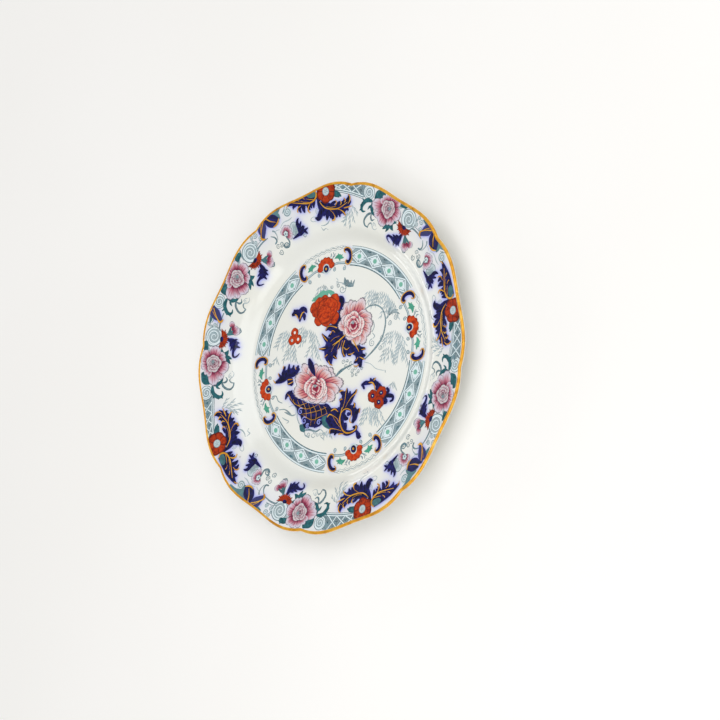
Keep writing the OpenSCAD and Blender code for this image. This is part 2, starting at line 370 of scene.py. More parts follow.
# ---------------------------------------------------------------- materials
class Nodes:
    """Short names for building one node material."""

    def __init__(self, name):
        self.mat = bpy.data.materials.new(name)
        self.mat.use_nodes = True
        self.tree = self.mat.node_tree
        self.tree.nodes.clear()
        self.out = self.tree.nodes.new("ShaderNodeOutputMaterial")
        self.bsdf = self.tree.nodes.new("ShaderNodeBsdfPrincipled")
        self.tree.links.new(self.bsdf.outputs[0], self.out.inputs[0])

    def new(self, kind, **values):
        node = self.tree.nodes.new(kind)
        for key, value in values.items():
            setattr(node, key, value)
        return node

    def link(self, a, b):
        self.tree.links.new(a, b)

    def attr(self, name):
        node = self.new("ShaderNodeAttribute", attribute_name=name)
        return node.outputs["Fac"]

    def coords(self):
        return self.new("ShaderNodeTexCoord").outputs["Object"]

    def noise(self, scale, detail=3.0, rough=0.5, vector=None):
        node = self.new("ShaderNodeTexNoise")
        node.inputs["Scale"].default_value = scale
        node.inputs["Detail"].default_value = detail
        node.inputs["Roughness"].default_value = rough
        self.link(vector if vector else self.coords(), node.inputs["Vector"])
        return node.outputs["Fac"]

    def math(self, op, a, b, clamp=False):
        node = self.new("ShaderNodeMath", operation=op, use_clamp=clamp)
        for i, value in enumerate((a, b)):
            if isinstance(value, (int, float)):
                node.inputs[i].default_value = value
            else:
                self.link(value, node.inputs[i])
        return node.outputs[0]

    def ramp(self, factor, stops):
        """A colour ramp with the given (position, colour) stops."""
        node = self.new("ShaderNodeValToRGB")
        points = node.color_ramp.elements
        while len(points) < len(stops):
            points.new(0.5)
        for point, (where, colour) in zip(points, stops):
            point.position = where
            point.color = (*colour, 1)
        self.link(factor, node.inputs[0])
        return node.outputs[0]

    def mix(self, factor, a, b):
        """Two colours, or sockets, blended by a factor."""
        node = self.new("ShaderNodeMix", data_type="RGBA")
        for socket, value in ((node.inputs[0], factor), (node.inputs[6], a), (node.inputs[7], b)):
            if isinstance(value, tuple):
                socket.default_value = (*value, 1)
            elif isinstance(value, (int, float)):
                socket.default_value = value
            else:
                self.link(value, socket)
        return node.outputs[2]

    def bump(self, height, strength, distance=0.0002):
        node = self.new("ShaderNodeBump")
        node.inputs["Strength"].default_value = strength
        node.inputs["Distance"].default_value = distance
        self.link(height, node.inputs["Height"])
        self.link(node.outputs[0], self.bsdf.inputs["Normal"])

    def finish(self, colour, roughness=0.12, metallic=0.0, specular=0.5):
        """Sets the surface and returns the material."""
        if isinstance(colour, tuple):
            self.bsdf.inputs["Base Color"].default_value = (*colour, 1)
        else:
            self.link(colour, self.bsdf.inputs["Base Color"])
        if isinstance(roughness, (int, float)):
            self.bsdf.inputs["Roughness"].default_value = roughness
        else:
            self.link(roughness, self.bsdf.inputs["Roughness"])
        self.bsdf.inputs["Metallic"].default_value = metallic
        self.bsdf.inputs["Specular IOR Level"].default_value = specular
        return self.mat


def srgb(code):
    """Linear colour from a six-digit sRGB code."""
    channels = [int(code[i:i + 2], 16) / 255 for i in (0, 2, 4)]
    return tuple(c / 12.92 if c <= 0.04045 else ((c + 0.055) / 1.055) ** 2.4 for c in channels)


WARE = srgb("ECEEEA")
WARE_WARM = srgb("E9E9E0")
HALO = srgb("9FA6EE")
COBALT = srgb("100F48")
COBALT_DARK = srgb("060612")
COBALT_BLUE = srgb("26288C")
TEAL = srgb("226372")
TEAL_DARK = srgb("0B3943")
INK = srgb("3A3448")


def ware_colour(n):
    tint = n.ramp(n.noise(9.0, 4.0), [(0.35, WARE), (0.7, WARE_WARM)])
    haloed = n.mix(n.attr("halo"), tint, HALO)
    speck = n.ramp(n.noise(260.0, 1.0, 0.3), [(0.0, (0, 0, 0)), (0.80, (0, 0, 0)), (0.84, (1, 1, 1))])
    return n.mix(n.math("MULTIPLY", speck, 0.35), haloed, srgb("8C7F6A"))


def make_glaze():
    n = Nodes("glazed_ware")
    n.bump(n.noise(55.0, 2.0), 0.12, 0.0004)
    rough = n.ramp(n.noise(20.0, 3.0), [(0.3, (0.09,) * 3), (0.7, (0.15,) * 3)])
    return n.finish(ware_colour(n), rough)


def make_clay():
    n = Nodes("bare_clay")
    grit = n.noise(900.0, 3.0)
    colour = n.ramp(grit, [(0.3, srgb("CDBFA4")), (0.7, srgb("E2D8C4"))])
    stained = n.mix(n.ramp(n.noise(70.0), [(0.5, (0, 0, 0)), (0.75, (0.5, 0.5, 0.5))]), colour,
                    srgb("A08A6A"))
    n.bump(grit, 0.35)
    return n.finish(stained, 0.75, specular=0.3)


def make_gold():
    n = Nodes("burnished_gold")
    wear = n.noise(160.0, 4.0, 0.6)
    colour = n.ramp(wear, [(0.3, srgb("CC881A")), (0.5, srgb("F0AC2C")), (0.72, srgb("FCCB58"))])
    rough = n.ramp(n.noise(90.0, 3.0), [(0.3, (0.26,) * 3), (0.7, (0.42,) * 3)])
    n.bump(n.noise(300.0, 2.0), 0.15)
    return n.finish(colour, rough, metallic=0.45)


def make_cobalt():
    n = Nodes("cobalt")
    pool = n.noise(330.0, 4.0, 0.6)
    body = n.ramp(pool, [(0.3, COBALT_DARK), (0.55, COBALT), (0.85, COBALT_BLUE)])
    edge = n.math("POWER", n.math("ABSOLUTE", n.attr("across"), 0), 4.0)
    washed = n.mix(n.math("MULTIPLY", edge, 0.55), body, COBALT_BLUE)
    pale = n.mix(n.math("SUBTRACT", 1.0, n.attr("tone"), True), washed, srgb("8F97E2"))
    return n.finish(pale, 0.13, specular=0.4)


def make_print():
    """Transfer print: teal line work whose strength is each stroke's tone."""
    n = Nodes("teal_print")
    grain = n.ramp(n.noise(1400.0, 2.0), [(0.35, (0.72,) * 3), (0.65, (1.0,) * 3)])
    ink = n.ramp(n.noise(240.0, 3.0), [(0.3, TEAL_DARK), (0.7, TEAL)])
    strength = n.math("MULTIPLY", n.math("POWER", n.attr("tone"), 0.62), grain, True)
    return n.finish(n.mix(strength, srgb("DCE9ED"), ink), 0.13, specular=0.4)


def make_leaf():
    n = Nodes("dark_teal_leaf")
    wash = n.ramp(n.noise(400.0, 4.0, 0.6), [(0.3, srgb("15424A")), (0.6, srgb("2A6870")),
                                             (0.85, srgb("5A969C"))])
    pale = n.mix(n.math("SUBTRACT", 1.0, n.attr("tone"), True), wash, srgb("A9C8CB"))
    return n.finish(pale, 0.13, specular=0.4)


def make_green():
    n = Nodes("green_enamel")
    wash = n.ramp(n.noise(300.0, 3.0), [(0.3, srgb("1F8067")), (0.7, srgb("49A78C"))])
    pale = n.mix(n.math("SUBTRACT", 1.0, n.attr("tone"), True), wash, srgb("A5DAC8"))
    return n.finish(pale, 0.16, specular=0.4)


def make_red(name, dark, middle, bright):
    n = Nodes(name)
    brush = n.ramp(n.noise(420.0, 4.0, 0.65), [(0.32, srgb(dark)), (0.48, srgb(middle)),
                                               (0.75, srgb(bright))])
    shade = n.mix(n.math("SUBTRACT", 1.0, n.attr("tone"), True), brush, srgb(dark))
    rim = n.ramp(n.attr("along"), [(0.86, (0, 0, 0)), (0.97, (0.75,) * 3)])
    return n.finish(n.mix(rim, shade, srgb("4E0F06")), 0.22, specular=0.35)


def make_rose(name, stops, line):
    """Petal shading: deep at the base, streaked with ink, pale at the tip, and finely outlined."""
    n = Nodes(name)
    u = n.attr("along")
    v = n.attr("across")
    fan = n.new("ShaderNodeCombineXYZ")
    n.link(n.math("MULTIPLY", v, 6.0), fan.inputs[0])
    n.link(n.math("MULTIPLY", u, 0.8), fan.inputs[1])
    n.link(n.math("MULTIPLY", n.attr("tone"), 13.0), fan.inputs[2])
    streak = n.noise(1.6, 2.0, 0.5, fan.outputs[0])
    level = n.math("ADD", u, n.math("MULTIPLY", n.math("SUBTRACT", streak, 0.5), 0.55))
    wash = n.ramp(level, [(where, srgb(code)) for where, code in stops])
    dark_streak = n.ramp(streak, [(0.40, (0.8,) * 3), (0.45, (0, 0, 0))])
    near_base = n.ramp(u, [(0.60, (1, 1, 1)), (0.92, (0, 0, 0))])
    streaked = n.mix(n.math("MULTIPLY", dark_streak, near_base), wash, srgb("7C2B45"))
    rim = n.ramp(u, [(0.93, (0, 0, 0)), (0.97, (1, 1, 1))])
    flank = n.ramp(n.math("ABSOLUTE", v, 0), [(0.88, (0, 0, 0)), (0.96, (1, 1, 1))])
    edge = n.math("MULTIPLY", n.math("MAXIMUM", rim, flank), line)
    return n.finish(n.mix(edge, streaked, INK), 0.14, specular=0.4)


M = {
    "glaze": make_glaze(),
    "clay": make_clay(),
    "gold": make_gold(),
    "cobalt": make_cobalt(),
    "print": make_print(),
    "leaf": make_leaf(),
    "green": make_green(),
    "red": make_red("iron_red", "561204", "A42E08", "C0440C"),
    "orange": make_red("orange_red", "82200A", "C43C0E", "DE5A1E"),
    "rose": make_rose("rose_petal", [(0.34, "962746"), (0.48, "C9646F"), (0.66, "DA9A94"),
                                     (0.86, "DDD0D6")], 0.8),
    "bowl": make_rose("rose_bowl", [(0.46, "8A1A36"), (0.60, "C45A6C"), (0.74, "E0A8A6"), (0.88, "F0E2E0")],
                      0.85),
    "lilac": make_rose("lilac_petal", [(0.34, "7E2846"), (0.48, "B5647A"), (0.64, "CB9AA8"),
                                       (0.84, "D3CCDA")], 0.8),
    "lilac_bowl": make_rose("lilac_bowl", [(0.44, "7A4258"), (0.60, "AC8290"), (0.78, "C8B4BA"),
                                           (0.93, "DAD4D6")], 0.95),
}

# Lift of each kind of layer above the glaze, in millimetres
LIFT = {"print": 0.02, "leaf": 0.11, "cobalt": 0.14, "green": 0.17, "rose": 0.19, "lilac": 0.19,
        "bowl": 0.23, "lilac_bowl": 0.23, "red": 0.19, "orange": 0.19, "gold": 0.34}

DECALS = []


def piece(name, kind, node=None, slot=None, extra=0.0):
    """A new decal of one kind of colour, kept for building and for the cobalt's halo."""
    decal = Decal(name, M[kind], LIFT[kind] + extra, node, slot)
    DECALS.append(decal)
    return decal


# ---------------------------------------------------------------- rim motifs
# Each is drawn in millimetres around its own anchor: +x clockwise along the rim, +y outwards.
REAR_ACANTHUS = [
    [(-9.5, -2.0, 3.0), (-14, -2.6, 5.5), (-20, -1.8, 7.0), (-26, 0.0, 6.5), (-31, 1.2, 4.5),
     (-36, 1.6, 1.5)],
    [(-11, 1.6, 4.0), (-18, 1.4, 5.0), (-26, 1.8, 4.5), (-33, 1.6, 2.5)],
    [(-12, -3.5, 3.0), (-13, -6.0, 3.0), (-13.5, -8.3, 1.5)],
    [(-16, -3.5, 3.5), (-16, -6.5, 3.0), (-15.8, -8.0, 1.5)],
    [(-18, -3.5, 3.5), (-18.6, -6.5, 3.0), (-17.6, -8.8, 1.2)],
    [(-22, -3.5, 3.5), (-23.3, -6.5, 3.5), (-23.2, -8.8, 1.8)],
    [(-25.5, -3.0, 3.5), (-27, -5.5, 3.0), (-26.6, -7.8, 1.5)],
    [(-29, -1.0, 3.0), (-31.5, -1.6, 2.5), (-32.3, -2.8, 1.0)],
]
REAR_GOLD = [
    [(-10.4, 3.2, 0.9), (-8.9, 0.6, 1.7), (-9.8, -2.3, 2.0), (-13, -4.2, 1.9), (-18, -4.3, 1.3),
     (-24, -2.2, 1.0), (-31, 1.2, 0.6)],
    [(-12, -3.2, 0.8), (-16, -2.0, 0.6), (-18.5, -0.8, 0.3)],
    [(-17, -3.8, 0.7), (-21, -2.4, 0.5), (-24, -0.5, 0.3)],
    [(-21.5, 2.0, 1.1), (-21, 0.4, 0.7), (-19.8, -0.6, 0.3)],
    [(-27, 1.9, 1.0), (-26, 0.7, 0.6), (-24.8, 0.0, 0.3)],
    [(-25, -3.7, 0.5), (-28.0, -4.2, 1.1), (-29.3, -6.2, 1.4), (-28.9, -7.2, 0.8)],
    [(-16, -5.0, 0.6), (-18.6, -7.2, 1.4), (-19.4, -9.3, 1.8), (-18.2, -11.2, 1.1)],
    [(-34.5, 1.8, 0.7), (-36.5, 1.2, 1.1), (-37.5, 0.2, 0.6)],
]
FRONT_ACANTHUS = [
    [(-8.4, -3.5, 2.0), (-7.5, -8, 4.5), (-5, -12, 6.5), (0, -14, 7.0), (6, -14.8, 7.0), (12, -14.6, 6.5),
     (18, -12.8, 5.5), (22.5, -9, 3.0)],
    [(-6, -11, 4.0), (-8.5, -15.3, 5.0), (-11.5, -17.2, 4.2), (-13.8, -16.6, 1.5)],
    [(-4, -13, 4.0), (-4.8, -16.4, 1.8)],
    [(-1, -14, 4.5), (-1.5, -17.5, 3.6), (-2.4, -19.8, 1.4)],
    [(2.6, -15, 4.0), (2.6, -18.4, 3.0)],
    [(4.4, -16, 3.4), (4.4, -19.5, 3.0), (3.8, -21.2, 1.4)],
    [(8, -16, 4.0), (8.6, -18.8, 2.0)],
    [(11, -15.5, 4.0), (12, -19.0, 1.6)],
    [(15, -14.5, 4.5), (17, -17.4, 2.0)],
    [(19, -12.5, 4.0), (21, -14.8, 1.5)],
    [(3, -12, 5.0), (5.5, -9.5, 3.0), (8.4, -8.4, 1.6)],
    [(9, -12, 4.5), (11.5, -9.6, 2.4), (13.2, -8.8, 1.2)],
    [(14, -11.5, 4.5), (16.6, -8.6, 2.4), (17.2, -7.0, 1.2)],
    [(19, -10.5, 4.5), (21.4, -6.5, 3.0), (21.6, -4.5, 1.4)],
    [(-4, -8, 5.0), (0, -10.5, 5.0), (5, -11.5, 4.0)],
]
FRONT_GOLD = [
    [(-7.0, -6.0, 0.6), (-5, -9.1, 1.1), (-2, -11.6, 1.3), (3, -13.1, 1.5), (9, -13.6, 1.4),
     (13, -12.8, 1.1), (17, -11.1, 0.8), (20.2, -9.4, 0.4)],
    [(9, -13.4, 0.9), (14, -15.0, 0.8), (17.4, -17.2, 1.5), (18.2, -18.6, 1.2), (17.6, -19.2, 0.5)],
    [(17, -13.4, 0.8), (20.5, -12.9, 1.4), (24.6, -12.0, 0.7)],
    [(21.0, -3.6, 0.8), (22.8, -5.4, 1.3), (22.9, -8.2, 1.2), (21, -10.4, 0.5)],
    [(8.4, -7.6, 0.7), (9.8, -9.0, 1.3), (8.2, -10.8, 0.7)],
    [(13.2, -8.2, 0.7), (14.3, -9.8, 1.2), (13.0, -11.2, 0.6)],
    [(16.8, -6.4, 0.9), (18.5, -8.2, 1.3), (17.4, -9.4, 0.6)],
    [(3.6, -21.3, 1.2), (6.0, -21.0, 1.9), (6.9, -19.0, 1.3), (6.0, -17.4, 0.5)],
    [(-1, -10.8, 0.3), (4, -12.0, 0.5), (9, -11.6, 0.3)],
    [(2, -13.4, 0.4), (5, -16, 0.5), (6.2, -17.4, 0.4)],
]


def flower_group(i, spot):
    """Red flower between cobalt acanthus leaves, with gold veins, a latticed band and faint sprays."""
    put = at_rim(spot)
    n = i + 1
    cobalt = piece(f"rim_acanthus_{n}", "cobalt", [f"rim_acanthus_{n}"], "cobalt")
    cobalt.strokes(put, REAR_ACANTHUS + FRONT_ACANTHUS)
    teal = piece(f"rim_acanthus_wash_{n}", "leaf", slot="teal_print", extra=0.09)
    teal.disc(put, (-13.2, 0.9), 4.6, 0.9, squash=0.55, turn=-12)
    teal.strokes(put, (
        [(8, -2.2, 3.6), (11, -3.0, 3.4), (13.8, -4.8, 1.2)],
        [(8.5, -4.0, 2.4), (12, -5.4, 1.0)],
    ))
    gold = piece(f"rim_acanthus_gold_{n}", "gold", slot="gold")
    gold.strokes(put, REAR_GOLD + FRONT_GOLD, 1.0, 0.66)
    # The red flower, its pale eye and the marks in it
    flower = piece(f"rim_flower_{n}", "red", [f"rim_flower_{n}"], "iron_red", 0.02)
    flower.disc(put, (0, 0.2), 8.9, 0.75, lobes=6, depth=0.10, turn=20, steps=90)
    for k in range(6):
        a = math.radians(20 + 60 * k)
        flower.petal(put, (2.0 * math.cos(a), 2.0 * math.sin(a)), (8.5 * math.cos(a), 8.5 * math.sin(a)),
                     7.6, 1.0, root=0.4)
    for k in range(6):
        a = math.radians(50 + 60 * k)
        flower.stroke(put, [(3.2 * math.cos(a), 3.2 * math.sin(a), 0.4),
                            (7.6 * math.cos(a), 7.6 * math.sin(a), 0.5)], 0.0)
    eye = piece(f"rim_flower_eye_{n}", "print", slot="teal_print", extra=0.27)
    eye.disc(put, (0, 0), 3.0, 0.2)
    eye.disc(put, (0, 0), 3.1, 0.9, hole=0.88)
    for k in range(5):
        a = math.radians(72 * k + 30)
        eye.stroke(put, [(0.5 * math.cos(a), 0.5 * math.sin(a), 0.35),
                         (1.9 * math.cos(a + 0.5), 1.9 * math.sin(a + 0.5), 0.3)], 0.7)
    # Latticed band towards the next scroll
    band = piece(f"rim_lattice_{n}", "print", [f"rim_lattice_{n}"], "teal_print")
    lattice_band(band, put, min(6.4, CREST - GILT_WIDTH - 0.8 - spot[1]))
    # Small curl and faint willow sprays
    sprays = piece(f"rim_spray_{n}", "print", slot="teal_print")
    sprays.spiral(put, (-10.5, -12.2), 2.4, 0.5, 1.7, 90, 0.5, 0.45)
    sprays.stroke(put, [(0.6, -20.3, 0.4), (-2, -22.5, 1.0), (-6, -23.4, 0.7), (-9.8, -23.0, 0.3)], 0.5)
    sprays.stroke(put, [(-10, -24.0, 0.3), (-8.5, -26.4, 0.8), (-5.5, -25.8, 0.4), (-3.2, -27.0, 0.3)], 0.4)
    sprays.stroke(put, [(-14, -18.8, 0.3), (-18, -18.0, 0.5), (-19.3, -16.2, 0.6), (-16.6, -15.0, 0.5),
                        (-12.5, -16.4, 0.6)], 0.35)
    sprays.rise = WILLOW_RISE
    for x, y, angle, length in (
        (22, -14, -118, 13), (23, -15, -95, 12), (24, -13, -75, 11), (25, -11, -50, 9), (21, -17, -140, 9),
    ):
        willow(sprays, put, (x, y), angle, length, 0.42)


def lattice_band(band, put, top):
    """Teal ground with pale crossing bars, dark lozenges and a double lower border."""
    pitch = 8.2
    first = 8.0

    def base(x):
        return 0.2 - 4.6 * (x - 8) / 26

    rows = 6
    for row in range(rows):
        share = (row + 0.5) / rows
        band.stroke(put, [(x, base(x) + (top - base(x)) * share, (top - base(x)) / rows + 0.5)
                          for x in range(6, 37, 3)], 0.78)
    for k in range(4):
        x = first + pitch * k
        middle = (top + base(x)) / 2
        # Lozenge with a darker heart
        band.stroke(put, [(x - 2.4, middle, 0.3), (x, middle, 4.6), (x + 2.4, middle, 0.3)], 0.8)
        band.stroke(put, [(x - 1.2, middle, 0.3), (x, middle, 2.2), (x + 1.2, middle, 0.3)], 1.0)
        if k < 3:
            for low, high in ((x, x + pitch), (x + pitch, x)):
                for width, tone in ((1.35, 0.95), (0.75, 0.0)):
                    band.stroke(put, [(low, base(low) + 0.6, width), (high, top, width)], tone)
    for lift, width, tone in ((0.5, 0.75, 0.0), (-0.3, 0.5, 1.0), (-0.95, 0.5, 0.0), (-1.5, 0.4, 1.0)):
        band.stroke(put, [(x, base(x) + lift, width) for x in (7, 14, 21, 28, 35.5)], tone)
    for edge in (8.0, 12.0):
        band.stroke(put, [(edge - 1.2, 3.4, 0.5), (edge - 2.8, 0.8, 0.5)], 0.05)


def willow(decal, put, root, angle, length, tone):
    """A faint frond: a drooping stem with narrow leaves on both sides."""
    a = math.radians(angle)
    ux, uy = math.cos(a), math.sin(a)
    bend = 0.16 * length

    def along(t):
        return root[0] + ux * length * t - uy * bend * t * t, root[1] + uy * length * t + ux * bend * t * t

    decal.stroke(put, [(*along(t), 0.26) for t in (0, 0.35, 0.7, 1)], tone)
    leaves = max(2, int(length / 1.7))
    for k in range(leaves):
        x, y = along(0.06 + 0.9 * k / leaves)
        b = a + (0.38 if k % 2 else -0.38)
        decal.stroke(put, [(x, y, 0.3), (x + math.cos(b) * 1.5, y + math.sin(b) * 1.5, 0.8),
                           (x + math.cos(b) * 3.4, y + math.sin(b) * 3.4, 0.2)], tone)


PEONY_OUTER = [
    ((-3, 0), (-18.2, -1.4), 10.5, 0.9), ((-3, -3), (-14, -8.5), 8, 0.7),
    ((-3, 2), (-10.6, 3.9), 4.6, 0.6), ((-2, 3), (-8.6, 7.2), 4.8, 0.8),
    ((-1, 3), (-2.6, 10.8), 7.0, 0.4), ((1, 3), (3.6, 11.6), 7.4, 0.7), ((3, 3), (9.2, 9.8), 7.0, 0.5),
    ((3, -3), (7.5, -10.0), 8.0, 0.5), ((3, 0), (13.8, -1.6), 10.5, 0.8),
    ((2, -3), (2.2, -11.5), 8.0, 0.6), ((-2, -4), (-5.4, -14.0), 12.0, 0.9),
]


def bowl(deep, pale, put, centre, size, squash, turn):
    """The ruffled cup of a peony: rings of small petals, each on a deep ground."""
    cx, cy = centre
    c, s = math.cos(math.radians(turn)), math.sin(math.radians(turn))

    def spot(a, r):
        x, y = r * math.cos(a), r * math.sin(a) * squash
        return (cx + x * c - y * s, cy + x * s + y * c)

    deep.disc(put, centre, size * 0.9, 0.3, squash=squash, turn=turn)
    for ring, (reach, count, width) in enumerate(((1.0, 8, 0.92), (0.66, 6, 0.72), (0.36, 4, 0.50))):
        for k in range(count):
            wobble = 1 + 0.10 * math.sin(2.3 * k + 1.7 * ring)
            a = 2 * math.pi * (k + 0.5 * ring + 0.12 * math.sin(1.9 * k)) / count
            tip = spot(a, size * reach * wobble)
            tone = 0.2 + 0.75 * ((k * 7 + ring * 3) % 5) / 5
            pale.petal(put, spot(a, 0.02 * size), tip, size * width * wobble, tone, root=0.3, notch=0.04,
                       lobes=3)


def peony_group(i, spot):
    """Pink rim peony with teal leaves, tendrils and a small scroll."""
    put = at_rim(spot)
    n = i + 1
    leaves = piece(f"peony_leaves_{n}", "leaf", slot="teal_print")
    leaves.strokes(put, (
        [(-15.5, 3.4, 1.5), (-13.5, 6.0, 5.5), (-11, 7.0, 6.5), (-8, 8.5, 4.0)],
        [(-14, 3.6, 3.0), (-11, 3.4, 3.4), (-8.5, 3.0, 1.5)],
        [(-26.3, -1.4, 1.6), (-24, -0.2, 3.0), (-21.6, 0.6, 3.2), (-18.4, 0.4, 2.0)],
        [(-24.5, -0.6, 3.0), (-27.2, -3.4, 3.0), (-27.8, -6.4, 2.2), (-26, -8.0, 1.6), (-23.6, -7.6, 0.6)],
        [(-21.0, -5.8, 0.6), (-19.6, -3.8, 1.8), (-17.5, -3.6, 2.2), (-15.5, -5.8, 1.2)],
        [(-17.8, -1.2, 1.0), (-17.6, -4.5, 2.2), (-15, -7.6, 2.2), (-12, -8.8, 1.0)],
        [(3, -7.5, 3.0), (6, -9.5, 5.0), (9, -11.4, 2.6), (10.6, -12.0, 0.8)],
        [(4, -9, 4.0), (2.2, -12.3, 3.2), (-0.6, -14.8, 1.0)],
        [(5, -10, 3.4), (4.6, -13, 2.6), (3.4, -15.6, 0.8)],
        [(6, -8.5, 3.2), (9.5, -6.6, 2.0), (11.6, -6.0, 0.8)],
    ))
    lines = piece(f"peony_tendrils_{n}", "print", slot="teal_print")
    for s, tone in (
        ([(-15.8, -7.8, 1.4), (-19.4, -8.8, 1.8), (-22.4, -11.6, 1.7), (-23.6, -14.6, 1.5),
          (-22.0, -17.2, 1.2), (-18.6, -18.2, 0.9)], 0.95),
        ([(-18.6, -18.2, 0.9), (-17.6, -15.8, 0.9), (-15.4, -14.6, 1.1), (-14.2, -15.6, 0.5)], 0.8),
        ([(-16.6, -8.4, 0.8), (-16.6, -11, 1.5), (-14.8, -12.6, 1.3), (-12.4, -11.4, 0.5)], 0.95),
        ([(-14.5, -15.0, 0.4), (-12.5, -17.6, 0.6), (-9.5, -18.2, 0.4), (-7.5, -16.8, 0.3)], 0.4),
        ([(-13.0, -13.6, 0.4), (-10.5, -14.2, 0.5), (-9.0, -15.8, 0.3)], 0.4),
    ):
        lines.stroke(put, s, tone)
    lines.spiral(put, (-12.6, -15.6), 1.4, 0.4, 1.2, 0, 0.4, 0.4)
    scroll_disc(lines, put, (-22.0, 6.0), 5.4, 0)
    leaves.strokes(put, (
        [(8, 6.5, 2.0), (11, 8.0, 4.4), (14.5, 8.6, 4.0)],
        [(-27.2, -3.2, 2.4), (-29.2, -4.0, 0.7)],
        [(-27.6, -6.0, 2.2), (-29.4, -7.6, 0.7)],
        [(-25.4, -0.8, 2.2), (-27.6, 0.8, 0.7)],
    ))
    lines.disc(put, (10.0, 6.4), 2.3, 0.3)
    lines.spiral(put, (10.0, 6.4), 2.2, 0.4, 1.6, 30, 0.4, 0.8)
    petals = piece(f"peony_petals_{n}", "lilac", slot="rose")
    for base, tip, width, tone in PEONY_OUTER:
        petals.petal(put, base, tip, width, tone)
    deep = piece(f"rim_peony_{n}", "lilac_bowl", [f"rim_peony_{n}"], "rose")
    pale = piece(f"peony_heart_{n}", "lilac_bowl", slot="rose", extra=0.03)
    bowl(deep, pale, put, (-0.4, -0.4), 7.2, 0.92, 12)
    heart = piece(f"peony_centre_{n}", "print", slot="teal_print", extra=0.32)
    heart.disc(put, (0.8, 0.4), 1.5, 0.75, lobes=5, depth=0.3)
    heart.spiral(put, (0.8, 0.4), 2.6, 1.2, 1.2, 40, 0.35, 0.5)


def scroll_disc(lines, put, centre, radius, start, hand=1):
    """A printed volute: a white spiral on a shaded round, with a dark outline."""
    lines.disc(put, centre, radius, 0.45)
    lines.disc(put, centre, radius, 0.95, hole=0.93)
    lines.disc(put, centre, radius * 0.90, 0.0, hole=0.86)
    lines.spiral(put, centre, radius * 0.74, 0.9, 1.9, start, 1.15, 0.0, hand)
    lines.spiral(put, centre, radius * 0.66, 0.5, 1.9, start, 0.42, 0.85, hand)


DAISY_LEAF = [
    [(0.6, -5.0, 2.4), (0.2, -8, 4.0), (-1.6, -10.6, 5.4), (-5, -11.3, 3.8), (-9, -10.8, 2.2),
     (-12.6, -11, 1.8), (-14.0, -12.6, 1.5), (-12.4, -14.2, 0.9), (-10.2, -15.2, 0.5)],
    [(-3, -9.2, 3.2), (-8, -8.5, 1.0)],
    [(0, -9, 3.0), (2.2, -12.2, 1.0)],
    [(-0.6, -11, 3.0), (-0.6, -13.8, 1.2)],
    [(-4, -11.5, 3.2), (-4.6, -14.6, 1.2)],
    [(-2, -7.5, 2.5), (-4.5, -7.2, 1.0)],
]


def daisy_group(i, spot):
    """Half daisy and rosebud under a printed scroll, over a cobalt leaf."""
    put = at_rim(spot)
    n = i + 1
    scroll = piece(f"rim_scroll_{n}", "print", [f"rim_scroll_{n}"], "teal_print")
    scroll_disc(scroll, put, (1.2, 8.2), 7.6, 250, -1)
    scroll.stroke(put, [(-6.4, 9.5, 0.9), (-5.4, 13.2, 1.4), (-3.6, 16.5, 1.4)], 0.7)
    for x, y, r in (
        (12.8, 14.0, 2.1), (9.6, 9.8, 1.7), (14.8, 9.6, 1.7), (9.4, 15.2, 1.6), (8.2, 12.4, 1.1),
    ):
        scroll.disc(put, (x, y), r, 0.08)
        scroll.spiral(put, (x, y), r, 0.3, 1.5, 200, 0.5, 0.85)
    scroll.stroke(put, [(6.0, 5.6, 0.7), (10, 7.4, 0.6), (16.5, 7.6, 0.5)], 0.65)
    scroll.stroke(put, [(6.6, 4.4, 0.8), (9, 5.3, 1.3), (14, 5.6, 1.2), (20.0, 5.0, 0.8)], 0.85)
    leaf = piece(f"daisy_leaf_{n}", "cobalt", slot="cobalt")
    leaf.strokes(put, DAISY_LEAF)
    leaf.disc(put, (0.2, -0.2), 3.5, squash=0.75)
    red = piece(f"rim_daisy_{n}", "red", [f"rim_daisy_{n}"], "iron_red", 0.0)
    teeth = 15
    for k in range(teeth):
        a = math.radians(168 + 204 * k / (teeth - 1))
        reach = 1.0 if k % 2 == 0 else 0.86
        red.stroke(put, [(3.0 * math.cos(a), 0.6 + 1.8 * math.sin(a), 1.8),
                         (5.4 * math.cos(a), 0.8 + 3.6 * math.sin(a), 1.7),
                         (8.3 * reach * math.cos(a), 1.4 + 6.6 * reach * math.sin(a), 0.5)],
                         0.7 + 0.3 * (k % 2))
    bud = piece(f"rim_bud_{n}", "lilac", slot="rose")
    for base, tip, w, tone in (
        ((9, -6), (8, -13.4), 7, 0.3), ((9, -6), (11.5, -13.0), 6, 0.7), ((9, -6), (13.4, -10.4), 5, 0.5),
        ((10.5, -6.5), (16.4, -3.8), 5.4, 0.6),
    ):
        bud.petal(put, base, tip, w, tone)
    cap = piece(f"rim_bud_cap_{n}", "leaf", slot="teal_print", extra=0.1)
    cap.strokes(put, (
        [(5.0, -3.6, 2.0), (6.6, -5.4, 3.6), (8.2, -6.8, 1.4)],
        [(5.6, -5.0, 2.4), (6.0, -8.4, 0.9)],
        [(6.6, -4.6, 2.6), (10.2, -4.6, 1.4), (12.0, -5.4, 0.5)],
    ), 0.9)
    outline = piece(f"rim_bud_line_{n}", "print", slot="teal_print", extra=0.12)
    outline.stroke(put, [(5.6, -7.6, 0.5), (6.6, -11.4, 0.6), (9.8, -13.7, 0.8), (12.8, -12.4, 0.5)], 0.9)


